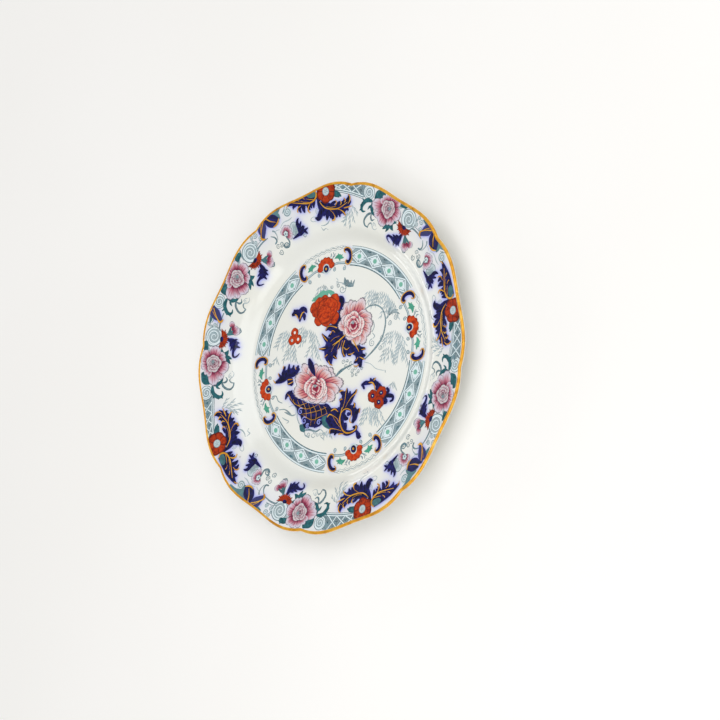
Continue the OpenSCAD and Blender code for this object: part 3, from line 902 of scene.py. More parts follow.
LEFT_PAIR = [
    [(-0.4, 1.0, 3.0), (-3.4, -1.8, 7.0), (-5.8, -5.4, 5.4), (-7.6, -8.6, 2.4)],
    [(-4.5, 0.6, 5.0), (-6.8, -2.5, 3.6), (-8.0, -5.5, 1.5)],
]
RIGHT_PAIR = [
    [(0.6, 0.6, 2.0), (3.0, -2.6, 6.6), (6.4, -5.6, 6.2), (10.4, -6.2, 2.2)],
    [(4, 0.5, 3.0), (8, -1.5, 4.0), (11.0, -4.6, 2.2)],
]
LEFT_GOLD = [
    [(-1.0, 0.6, 1.0), (-4.6, -2.4, 0.9), (-7.6, -5.4, 1.0), (-9.1, -7.6, 1.7), (-8.4, -9.4, 1.9),
     (-6.6, -10.2, 0.8)],
    [(-3.4, 0.6, 0.5), (-6, -2.6, 0.5), (-7.6, -5.6, 0.4)],
]
RIGHT_GOLD = [
    [(4.6, -7.9, 0.5), (7.6, -8.1, 1.5), (10.2, -7.0, 1.5), (12.0, -5.2, 0.6)],
    [(2.6, 0.8, 1.3), (4.7, -2.8, 0.9), (8.2, -6.0, 0.4)],
]


def pair_group(i, spot, right=True):
    """Cobalt leaves with gold edges; the single spot has only the left one."""
    put = at_rim(spot)
    n = i + 1
    cobalt = piece(f"rim_leaf_pair_{n}", "cobalt", [f"rim_leaf_pair_{n}"] if right else None, "cobalt")
    gold = piece(f"rim_pair_gold_{n}", "gold", slot="gold")
    teal = piece(f"rim_pair_wash_{n}", "leaf", slot="teal_print")
    cobalt.strokes(put, LEFT_PAIR, 0.87)
    cobalt.strokes(put, RIGHT_PAIR if right else [], 0.97)
    gold.strokes(put, LEFT_GOLD + (RIGHT_GOLD if right else []), 1.0, 0.8)
    teal.stroke(put, [(-11.5, 0.6, 1.0), (-8.5, 0.6, 2.4), (-5, 1.0, 2.0)], 0.9)
    if right:
        teal.strokes(put, (
            [(7, 1.2, 3.0), (12, 0.4, 4.4), (17, 2.4, 3.0), (23, 3.0, 1.4)],
            [(9.6, 0.4, 3.0), (12.0, -2.6, 3.6), (12.6, -5.0, 2.0)],
        ), 0.75)


HALF_PETALS = [
    ((-4.2, 4.0), 4.6, 0.9), ((-1.2, 5.6), 4.8, 0.4), ((2.4, 6.2), 5.0, 0.7), ((5.8, 4.2), 5.0, 0.5),
    ((7.2, 0.6), 5.0, 0.8),
    ((6.6, -3.2), 4.8, 0.4), ((4.0, -6.0), 4.8, 0.6),
]
FISH_TAIL = [
    [(4.6, -6.6, 0.8), (9, -6.4, 2.2), (14, -6.0, 3.2), (18, -5.8, 2.6), (22.4, -5.2, 1.0)],
    [(14.0, -6, 4.5), (14.4, -2.0, 4.2), (13.8, 1.6, 3.0), (15.2, 3.8, 1.8), (16.4, 4.4, 0.8)],
    [(15, -1.6, 2.6), (17.6, 1.2, 1.2)],
    [(15, -3.6, 3.0), (18.6, -2.0, 1.0)],
    [(16, -5, 3.0), (19.4, -3.0, 1.2)],
    [(18.6, -6, 2.4), (20.6, -8.6, 1.2)],
    [(13.6, -2, 2.5), (12.6, 0.5, 1.0)],
]


def half_group(i, spot):
    """Half flower over a cobalt sprig at the rim's inner border, with its printed lines."""
    put = at_rim(spot)
    n = i + 1
    tail = piece(f"rim_sprig_{n}", "cobalt", [f"rim_sprig_{n}"], "cobalt")
    tail.strokes(put, FISH_TAIL)
    lines = piece(f"half_flower_lines_{n}", "print", slot="teal_print")
    lines.disc(put, (9.4, -0.6), 4.6, 0.12, squash=1.15)
    lines.disc(put, (9.4, -0.6), 4.6, 0.75, squash=1.15, hole=0.90)
    for k in range(5):
        lines.stroke(put, [(6.4 + k, -3.6, 0.3), (8.4 + 0.9 * k, -0.4, 0.9),
                           (8.8 + 1.1 * k, 3.2 - 0.4 * k, 0.3)], 0.5)
    lines.stroke(put, [(7.4, -5.2, 1.6), (10.4, -3.2, 2.2), (11.6, 0.6, 1.4)], 0.6)
    lines.disc(put, (9.0, 13.2), 3.6, 0.1)
    lines.spiral(put, (9.0, 13.2), 3.4, 0.5, 1.9, 120, 0.6, 0.9)
    lines.stroke(put, [(4.5, 14.5, 0.6), (9.5, 18.6, 0.6)], 0.6)
    for s, tone in (
        ([(-1.2, -2.4, 0.9), (-0.2, -6.4, 1.3), (-2.6, -9.0, 1.7), (-6.2, -8.2, 1.7), (-6.8, -6.2, 1.3),
          (-5.2, -5.6, 0.9)], 0.9),
        ([(-13.6, 6.2, 0.6), (-11.0, 3.4, 1.1), (-10.8, 0.4, 1.4), (-13.2, -0.6, 1.2)], 0.9),
        ([(-9.8, 8.4, 1.4), (-8.6, 7.0, 1.0), (-8.4, 3.6, 0.6), (-9.4, 0.8, 0.5)], 0.7),
        ([(-4.0, 5.8, 0.4), (-7.0, 6.8, 0.4), (-9, 5.6, 0.4)], 0.4),
        ([(-2.4, 6.4, 0.4), (2.0, 8.2, 0.6), (7.5, 7.4, 0.9), (11.0, 7.8, 0.4)], 0.3),
    ):
        lines.stroke(put, s, tone)
    lines.spiral(put, (-8.4, -4.2), 2.2, 0.4, 1.6, 200, 0.6, 0.95)
    lines.spiral(put, (-12.6, -3.8), 1.9, 0.4, 1.3, 20, 0.55, 0.9)
    lines.spiral(put, (-12.4, -8.6), 2.3, 0.5, 1.4, 160, 0.6, 0.9)
    lines.spiral(put, (-4.6, -7.6), 2.4, 0.4, 1.4, 0, 0.8, 0.95)
    lines.spiral(put, (17.6, -8.8), 2.1, 0.5, 1.4, 60, 0.55, 0.9)
    petals = piece(f"rim_half_flower_{n}", "lilac", [f"rim_half_flower_{n}"], "rose")
    for tip, w, tone in HALF_PETALS:
        petals.petal(put, (0, 0), tip, w, tone, root=0.35)
    eye = piece(f"half_flower_eye_{n}", "print", slot="teal_print", extra=0.27)
    eye.disc(put, (0, 0), 2.4, 0.9, lobes=9, depth=0.16)
    eye.disc(put, (-0.1, 0.1), 1.7, 0.05)
    for k in range(5):
        a = math.radians(72 * k)
        eye.disc(put, (1.9 * math.cos(a), 1.9 * math.sin(a)), 0.4, 0.08)
    eye.disc(put, (-0.3, -0.1), 0.75, 1.0)


# ---------------------------------------------------------------- printed ring of the well
BRACKET = [(19.0, 79.4, 1.5), (21.6, 79.4, 2.3), (24.1, 76.6, 2.4), (24.7, 73.0, 2.4), (23.2, 70.4, 2.4),
           (21.5, 71.2, 1.6)]
BRACKET_GOLD = [
    (19.6, 77.4, 0.6), (18.2, 78.4, 0.8), (18.4, 80.4, 0.8), (21.4, 81.0, 0.8), (24.4, 79.2, 0.7),
    (26.0, 75.6, 0.7), (26.1, 71.8, 0.8),
    (24.0, 69.0, 0.9), (21.4, 69.0, 0.9), (20.1, 70.6, 0.9), (21.0, 72.2, 0.6),
]


def ring_quarter(i, start, end):
    """Lattice between two cartouches, from angle start down to angle end (clockwise)."""
    n = i + 1
    put = polar(start)
    length = math.radians(start - end) * RING_MIDDLE
    band = piece(f"ring_lattice_{n}", "print", [f"ring_lattice_{n}"], "teal_print")
    steps = [length * k / 12 for k in range(13)]
    # Ground, then each line as (radius, width, tone)
    ends = 4.6
    band.stroke(put, [(ends + (length - 2 * ends) * k / 12, 75.6, 10.4) for k in range(13)], 0.52)
    for radius, width, tone in (
        (82.1, 0.4, 0.8), (81.3, 1.1, 0.0), (80.5, 0.4, 0.9), (69.9, 0.4, 0.9), (69.1, 1.1, 0.0),
        (68.2, 0.85, 1.0),
    ):
        band.stroke(put, [(x, radius, width) for x in steps], tone)
    pitch = length / 4
    half = pitch / 2
    # Darker triangles above and below each crossing
    for k in range(5):
        x = pitch * k
        for edge in (-1, 1):
            y = RING_MIDDLE + edge * LATTICE_HALF
            if 0 < k < 4:
                band.stroke(put, [(x - 5.6, y, 0.5), (x, y - edge * 1.2, 3.4), (x + 5.6, y, 0.5)], 0.7)
                band.stroke(put, [(x - 1.6, y - edge * 0.2, 0.6), (x, y - edge * 0.5, 1.6),
                                  (x + 1.6, y - edge * 0.2, 0.6)], 1.0)
    dots = piece(f"ring_dots_{n}", "green", slot="teal_print")
    for k in range(4):
        x = pitch * (k + 0.5)
        # The white lozenge, then the crossing bars with a dark line on each side
        band.stroke(put, [(x - half + 1.2, RING_MIDDLE, 0.3), (x - half / 2, RING_MIDDLE, 4.0),
                          (x, RING_MIDDLE, 7.4),
                          (x + half / 2, RING_MIDDLE, 4.0), (x + half - 1.2, RING_MIDDLE, 0.3)], 0.0)
        for slope in (-1, 1):
            for width, tone in ((1.7, 0.95), (0.95, 0.0)):
                for side in (-1, 1):
                    band.stroke(put, [(x, RING_MIDDLE + slope * LATTICE_HALF, width),
                                      (x + side * half / 2, RING_MIDDLE + slope * LATTICE_HALF / 2, width),
                                      (x + side * half, RING_MIDDLE, width)], tone)
        for slope in (-1, 1):
            band.stroke(put, [(x, RING_MIDDLE + slope * 3.5, 0.6), (x, RING_MIDDLE + slope * 2.4, 0.4)],
                        0.9)
            band.stroke(put, [(x + slope * 5.6, RING_MIDDLE, 0.9), (x + slope * 3.8, RING_MIDDLE, 0.3)],
                        0.5)
        dots.disc(put, (x, RING_MIDDLE), 1.75, 0.55, squash=0.95)


def cartouche(i, angle):
    """Red flower with leaves between two cobalt and gold brackets, breaking the ring."""
    n = i + 1
    put = polar(angle)
    lines = piece(f"cartouche_lines_{n}", "print", slot="teal_print")
    # Scalloped outer line: rows of shallow waves
    for offset, tone, width, reach in (
        (0.0, 0.75, 0.42, 20.5), (-1.3, 0.5, 0.36, 19.5), (0.9, 0.3, 0.3, 18.0),
    ):
        waves = 8
        points = []
        for k in range(waves * 6 + 1):
            t = -1 + 2 * k / (waves * 6)
            points.append((t * reach, 81.2 + offset + 0.9 * abs(math.sin(waves * math.pi * (t + 1) / 2)),
                           width))
        lines.stroke(put, points, tone)
    # Inner border: two lines that dip to a point below the eye, pale blue between them
    for side in (-1, 1):
        dip = [(side * x, y) for x, y in ((22.0, 69.6), (15.5, 70.0), (10.6, 70.2), (6.4, 68.8),
                                          (3.0, 67.0), (0.0, 65.9))]
        lines.stroke(put, [(x, y, 1.5) for x, y in dip], 0.22)
        lines.stroke(put, [(x, y + 0.8, 0.38) for x, y in dip], 0.8)
        lines.stroke(put, [(x, y - 0.6, 0.5) for x, y in dip], 0.95)
        for x, y, r in ((8.3, 66.2, 1.8), (19.1, 66.0, 2.0)):
            lines.disc(put, (side * x, y), r * 0.7, 0.2)
            lines.spiral(put, (side * x, y), r, 0.4, 1.3, 90, 0.55, 0.8, -side)
        for spray in (
            [(6.0, 78.6, 0.6), (6.2, 77.2, 1.3), (5.2, 76.0, 0.5)],
            [(9.6, 76.4, 0.6), (8.2, 76.0, 1.4), (7.0, 74.4, 0.6)],
            [(8.0, 79.2, 0.4), (8.6, 77.4, 0.8), (10.4, 77.6, 0.4)],
        ):
            lines.stroke(put, [(side * x, y, w) for x, y, w in spray], 0.65)
    leaf = piece(f"cartouche_leaves_{n}", "green", slot="teal_print")
    for side in (-1, 1):
        for blade in (
            [(9.4, 74.2, 0.6), (11.6, 75.0, 2.4), (14.2, 74.8, 3.6), (16.4, 73.9, 1.8), (18.0, 73.8, 0.5)],
            [(13.4, 75.0, 2.6), (12.6, 77.2, 0.6)],
            [(13.8, 74.2, 2.4), (14.4, 71.8, 0.6)],
            [(15.4, 74.6, 1.8), (16.6, 76.0, 0.5)],
        ):
            leaf.stroke(put, [(side * x, y, w) for x, y, w in blade], 0.9)
    ground = piece(f"cartouche_glow_{n}", "print", slot="teal_print", extra=0.05)
    ground.disc(put, (0, 68.7), 3.9, 0.12)
    fan = piece(f"cartouche_fan_{n}", "orange", slot="iron_red")
    for k in range(7):
        a = math.radians(10 + 160 * k / 6)
        reach = 9.4 - 0.8 * math.sin(a)
        fan.petal(put, (3.3 * math.cos(a), 69.0 + 3.3 * math.sin(a)),
                  (reach * math.cos(a), 69.0 + reach * math.sin(a)), 4.9, 0.82 + 0.18 * (k % 2), root=0.5)
    eye = piece(f"cartouche_eye_{n}", "cobalt", slot="cobalt")
    eye.disc(put, (0, 68.6), 2.7)
    bead = piece(f"cartouche_bead_{n}", "gold", slot="gold")
    bead.disc(put, (0, 68.5), 0.95)
    bracket = piece(f"ring_cartouche_{n}", "cobalt", [f"ring_cartouche_{n}"], "cobalt")
    trim = piece(f"bracket_gold_{n}", "gold", slot="gold")
    for side in (-1, 1):
        bracket.stroke(put, [(side * x, y, w * 1.1) for x, y, w in BRACKET])
        trim.stroke(put, [(side * x, y, w) for x, y, w in BRACKET_GOLD])


# ---------------------------------------------------------------- bouquet in the well
def centre_red():
    """The large red peony at the top of the centre."""
    leaves = piece("centre_red_leaves", "green", slot="teal_print")
    leaves.strokes(flat, (
        [(-33, 40.5, 1.0), (-29, 42.5, 4.0), (-24, 44, 5.0)],
        [(-28, 44, 2.0), (-24, 47, 3.0), (-20, 46, 4.0)],
        [(-22, 46, 3.0), (-18, 48, 2.5), (-14, 46.5, 4.0)],
        [(-32, 42.4, 1.0), (-28, 40.0, 4.0), (-25, 39, 4.0)],
    ), 0.7)
    red = piece("centre_red_peony", "orange", ["centre_red_peony"], "iron_red", 0.02)
    for (x, y), r, tone in (
        ((-29.0, 35.0), 5.0, 0.8), ((-23.6, 26.9), 4.6, 0.9), ((-11.2, 42.6), 4.6, 1.0),
        ((-27.5, 32.4), 4.2, 0.6), ((-8.6, 38.0), 4.2, 0.9), ((-20.6, 40.6), 5.0, 0.7),
        ((-25.4, 39.0), 4.6, 0.9), ((-10.2, 30.0), 5.8, 0.8), ((-16.5, 27.8), 5.6, 0.7),
        ((-17.6, 34.2), 9.6, 0.9), ((-14.5, 36.5), 8.0, 1.0), ((-19.0, 31.4), 7.0, 0.95),
    ):
        red.disc(flat, (x, y), r, tone, lobes=5, depth=0.08, turn=x * 13)
    for k in range(7):
        a = math.radians(200 - 32 * k)
        red.stroke(flat, [(-17 + 4 * math.cos(a), 33 + 3 * math.sin(a), 0.3),
                          (-17 + 7 * math.cos(a + 0.2), 33 + 6.5 * math.sin(a + 0.2), 0.7),
                          (-17 + 9.4 * math.cos(a + 0.3), 33 + 9.0 * math.sin(a + 0.3), 0.3)], 0.35)
    red.strokes(flat, (
        [(-24, 34, 0.3), (-19, 37.5, 0.9), (-12, 36.5, 0.3)],
        [(-22, 30, 0.3), (-17, 28.5, 0.9), (-10, 32.5, 0.3)],
    ), 0.4)


PINK_1 = [
    (-33.8, -5.4, 8), (-27.0, -7.0, 8), (-20.6, -4.4, 7), (-15.2, -5.2, 7), (-2.6, -6.6, 9),
    (0.6, -11.0, 8), (-8.6, -5.6, 12), (-3.6, -10.4, 13),
    (9.8, -16.4, 11), (7.0, -22.4, 9), (3.8, -29.0, 10), (-4.4, -31.6, 9), (-12.6, -33.8, 11),
    (-20.4, -33.2, 9), (-28.4, -31.6, 9),
    (-38.6, -27.2, 12), (-39.2, -15.4, 12),
]
PINK_2 = [
    (-4.2, 35.0, 8), (-1.2, 41.2, 8), (3.8, 43.6, 7), (8.2, 43.2, 8), (16.6, 45.6, 10), (21.4, 36.6, 7),
    (27.2, 33.0, 10), (29.4, 27.2, 9),
    (28.4, 20.4, 11), (24.6, 12.4, 10), (17.4, 10.2, 10), (7.4, 13.6, 9), (2.4, 17.2, 9), (-4.8, 23.8, 9),
    (-2.4, 29.4, 8),
]


def pink_peony(n, centre, tips, cup, size, squash, turn):
    """A pink peony: outer petals round a ruffled cup."""
    outer = piece(f"centre_pink_petals_{n}", "rose", slot="rose", extra=-0.01 * n)
    for k, (x, y, width) in enumerate(tips):
        base = (centre[0] + 0.12 * (x - centre[0]), centre[1] + 0.12 * (y - centre[1]))
        outer.petal(flat, base, (x, y), width * 1.12, 0.15 + 0.8 * (k * 3 % 7) / 7, root=0.3, notch=0.04,
                    lobes=3)
    deep = piece(f"centre_peony_{n}", "bowl", [f"centre_peony_{n}"], "rose")
    pale = piece(f"centre_pink_heart_{n}", "bowl", slot="rose", extra=0.03)
    bowl(deep, pale, flat, cup, size, squash, turn)
    heart = piece(f"centre_pink_eye_{n}", "print", slot="teal_print", extra=0.32)
    heart.disc(flat, (cup[0] - 1.0, cup[1] + 1.6), 1.7, 0.6, lobes=5, depth=0.3, squash=0.7)


def centre_pinks():
    """The two pink peonies and the cobalt spike beside them."""
    pink_peony(1, (-16.6, -21.5), PINK_1, (-16.8, -22.6), 12.2, 0.62, -8)
    pink_peony(2, (10.6, 25.8), PINK_2, (10.8, 25.2), 11.0, 0.86, -35)
    spike = piece("centre_spike", "cobalt", slot="cobalt", extra=0.16)
    spike.stroke(flat, [(-27.0, -2.6, 2.6), (-25.4, -5.4, 5.0), (-22.4, -9.4, 4.4), (-19.6, -13.2, 1.4)])


CENTRE_LEAVES = [
    [(3, 18, 5), (-3, 13, 12), (-8, 8, 12), (-8, 1, 9), (-6.2, -3.5, 3)],
    [(-8, 11, 6), (-13, 13, 4), (-18.4, 16.8, 1.2)],
    [(-9, 8, 6), (-14, 6.5, 3.6), (-19, 6, 1)],
    [(-9, 4, 6), (-11, 2, 3.5), (-12.6, 0.2, 1)],
    [(-4, 4, 6), (-3, 1.5, 4), (-1, 0.2, 1)],
    [(-2, 18, 7), (-8, 21.4, 5.5), (-13, 21.8, 4), (-15.2, 20, 1.5)],
    [(-9, 17, 4), (-11.4, 15.8, 2)],
    [(-9, 24.5, 3), (-4, 25, 7), (-2, 31, 6), (-5.2, 36.5, 3.5)],
    [(-8.2, 44.5, 1.5), (-5, 43, 5.5), (-3.6, 40, 5), (-4.6, 36.6, 2.5)],
    [(4, 14, 3), (8, 11, 7.5), (14, 9, 9), (19, 6, 8), (21, 1, 6), (22.6, -3.2, 3.4)],
    [(19, 8, 5), (24.4, 9, 1.8)],
    [(20, 4, 5), (25.4, 4, 2)],
    [(20, 1, 4), (24.8, 1.8, 1.5)],
    [(3.4, 11, 4), (5, 6, 5), (6, 3, 3)],
    [(8, 9, 4), (10, 4.6, 4), (11.6, 3.4, 2)],
    [(19, 0, 4), (17, -1.4, 2)],
    [(-57.5, -21.2, 1.6), (-52, -18.6, 5.5), (-46, -14.0, 7.5), (-40, -12.4, 6.0), (-36.4, -10, 2.4)],
    [(-51, -14, 4), (-50.4, -9.4, 1.8)],
    [(-46, -12, 4), (-46.4, -7.4, 1.5)],
    [(-42, -11, 4), (-41.8, -7.8, 1.5)],
    [(-38.4, -11, 3.5), (-37.4, -8, 2.2)],
    [(-53, -17, 3), (-55.4, -15, 1.4)],
    [(-45.4, -17.4, 2.5), (-43, -19.4, 6.5), (-41.4, -20.6, 4)],
]
CENTRE_LEAF_GOLD = [
    [(-6.4, 9.6, 0.7), (-1, 13, 1.7), (4.2, 17.6, 1.2)],
    [(-18.4, 16.8, 0.6), (-15, 14.2, 1.2), (-12, 12.2, 0.6)],
    [(-19.2, 6, 0.8), (-16, 6.3, 1.2), (-13, 6.8, 0.5)],
    [(-12.6, 0.2, 0.7), (-10.4, 2.4, 1.1)],
    [(-0.8, 0.2, 1.0), (-4, 1.8, 0.7)],
    [(-15.4, 19.8, 0.9), (-13.4, 22.8, 1.1), (-9, 23, 0.8), (-5, 22.3, 1.3)],
    [(-10.2, 17.2, 1.0), (-8.6, 20, 0.8), (-6, 19, 0.6)],
    [(-8.4, -2.2, 0.9), (-6.4, -4.4, 1.3), (-3.8, -4.9, 0.8)],
    [(-2, 12, 0.5), (-5, 9, 0.45), (-7, 4.6, 0.3)],
    [(0, 12.5, 0.5), (-1, 7.5, 0.45), (-1, 3.6, 0.3)],
    [(2.4, 13.4, 0.5), (1.6, 9, 0.4), (0.6, 6.4, 0.3)],
    [(-9, 12, 0.4), (-6, 14.6, 0.4), (-1, 16.5, 0.3)],
    [(12.8, 13.8, 1.7), (16, 10.4, 1.4), (19.6, 6.6, 0.7)],
    [(25.4, 8.7, 1.0), (22, 8.0, 0.8)],
    [(10, 3.8, 1.0), (13, 4.3, 1.2), (15.2, 5.8, 0.5)],
    [(6.4, 2.4, 1.4), (4.3, 5.2, 1.0), (3.7, 9.6, 1.0), (4.6, 13.4, 1.1)],
    [(4.4, 8.6, 0.6), (7.4, 7.2, 1.1), (10, 8.8, 0.6)],
    [(21.2, 2.6, 0.7), (24, 1.8, 1.2), (26.4, 1.1, 0.6)],
    [(18.0, -0.2, 1.2), (19.6, 2.2, 0.7)],
    [(16.6, -4, 0.9), (19.5, -4.1, 1.4), (21.2, -2.8, 0.7)],
    [(-51.8, -8.8, 1.3), (-52, -10.8, 0.8)],
    [(-55.8, -14.6, 1.3), (-54.6, -16.6, 0.6)],
    [(-59.6, -19.8, 0.9), (-57.6, -21.4, 1.5)],
    [(-39.6, -8.6, 1.1), (-38.8, -10.4, 0.6)],
    [(-45.4, -18.3, 0.9), (-43, -17.8, 1.2), (-40.8, -17.6, 0.6)],
    [(-44.4, -21.4, 0.9), (-42, -20.4, 1.2), (-39.8, -19.2, 0.6)],
]
ACANTHUS = [
    [(33, -53.5, 1.0), (31, -53.4, 4.6), (28.6, -50.6, 2.6), (26.6, -49.4, 1.4)],
    [(27, -47.4, 3.6), (24.6, -47.4, 1.6)],
    [(14, -50.5, 4.5), (19, -52, 4.2), (24, -51, 3.0), (27.6, -48.6, 2.0)],
    [(11, -24, 3.0), (12, -29, 6.0), (12, -35, 7.0), (11, -42, 7.0), (13, -48, 6.0)],
    [(13.4, -20.6, 1.0), (13.4, -24, 4.0), (14, -29, 6.0)],
    [(22.6, -21.0, 1.4), (20.4, -24.4, 3.0), (17.6, -28, 6.0), (15, -33, 5.0)],
    [(16.6, -22.8, 1.6), (17, -26, 4.0)],
    [(7.4, -22.6, 2.0), (10, -24.6, 3.0)],
    [(8.4, -29, 2.0), (10.6, -31, 4.0)],
    [(8, -35.5, 2.5), (10, -38, 4.0)],
    [(14, -34.5, 3.0), (19, -34, 4.5), (23.4, -36.4, 6.0), (24.6, -40, 5.0), (23.4, -43.4, 3.0)],
    [(22.6, -31, 2.0), (22, -34, 4.0)],
    [(27.6, -34.6, 2.0), (25.4, -37, 4.5)],
    [(12.4, -38.6, 3.0), (15.6, -41.6, 4.0), (17.6, -41.8, 2.4)],
    [(16.6, -46.4, 3.6), (16.6, -49, 4.0)],
    [(18, -38.6, 3.0), (20.0, -38.2, 2.0)],
    [(9.4, -45, 6.0), (5, -42, 7.0), (1, -41, 6.0)],
    [(10.6, -48, 6.0), (5, -47, 7.0), (-1, -44, 4.0)],
    [(2, -36.6, 2.4), (6, -37.6, 5.0), (9.4, -41, 6.0)],
    [(12, -50.6, 5.0), (7, -51, 4.6), (3.4, -52.8, 2.4)],
    [(8, -53.8, 2.0), (9, -51, 4.0)],
]
ACANTHUS_GOLD = [
    [(11.4, -34.5, 0.7), (11, -39, 1.4), (10.8, -43, 1.7), (13, -48, 1.6), (16.5, -51.4, 1.7),
     (21, -51.9, 1.5), (25.5, -50.2, 1.3), (27.6, -48.2, 1.5), (27.0, -46.2, 1.3)],
    [(11.2, -38.4, 0.9), (13.4, -35.8, 1.1), (17, -34.9, 1.2), (20.4, -36.2, 1.1), (21.4, -39.2, 0.9),
     (20.4, -41.4, 1.0), (20.6, -43.6, 1.6), (22.2, -44.6, 0.9)],
    [(13.2, -20.4, 1.0), (13.0, -23.4, 0.8), (13.0, -30, 0.6), (12, -35, 0.6)],
    [(22.8, -20.8, 1.1), (22.4, -23.2, 1.5), (19.4, -25.8, 0.8), (16.4, -30, 0.5), (14.6, -34, 0.5)],
    [(6.8, -23.8, 1.0), (8.2, -22.4, 1.5), (10.2, -22.4, 0.8)],
    [(8.0, -29.6, 1.0), (9.4, -28.5, 1.4), (10.6, -28.4, 0.6)],
    [(21.8, -30.2, 1.0), (23.2, -31.6, 1.6), (22.6, -33.6, 0.7)],
    [(28.4, -34, 1.4), (28.4, -36.6, 1.2)],
    [(1.4, -37.6, 0.9), (4.6, -36.0, 1.7), (8, -37.6, 0.7)],
    [(-1.4, -42.2, 1.0), (0.4, -40.2, 1.5), (4, -40.9, 0.8), (8.4, -42.8, 0.7), (10.8, -45.6, 0.7)],
    [(4, -41.6, 0.4), (8, -45.4, 0.5), (12, -48.4, 0.5)],
    [(3, -53.4, 1.3), (2.8, -50.9, 1.7), (5, -50.1, 0.9), (10, -50.4, 0.5), (14, -51, 0.5)],
    [(11.6, -53.8, 1.0), (13.6, -53.1, 1.4), (16.4, -53, 0.6)],
]


def centre_cobalt():
    """The cobalt leaves round the peonies."""
    leaves = piece("centre_leaves", "cobalt", ["centre_leaves"], "cobalt")
    leaves.strokes(flat, CENTRE_LEAVES)
    gold = piece("centre_leaf_gold", "gold", slot="gold")
    gold.strokes(flat, CENTRE_LEAF_GOLD, 1.0, 0.62)
    acanthus = piece("centre_acanthus", "cobalt", ["centre_acanthus"], "cobalt")
    acanthus.strokes(flat, ACANTHUS)
    trim = piece("centre_acanthus_gold", "gold", slot="gold")
    trim.strokes(flat, ACANTHUS_GOLD, 1.0, 0.62)


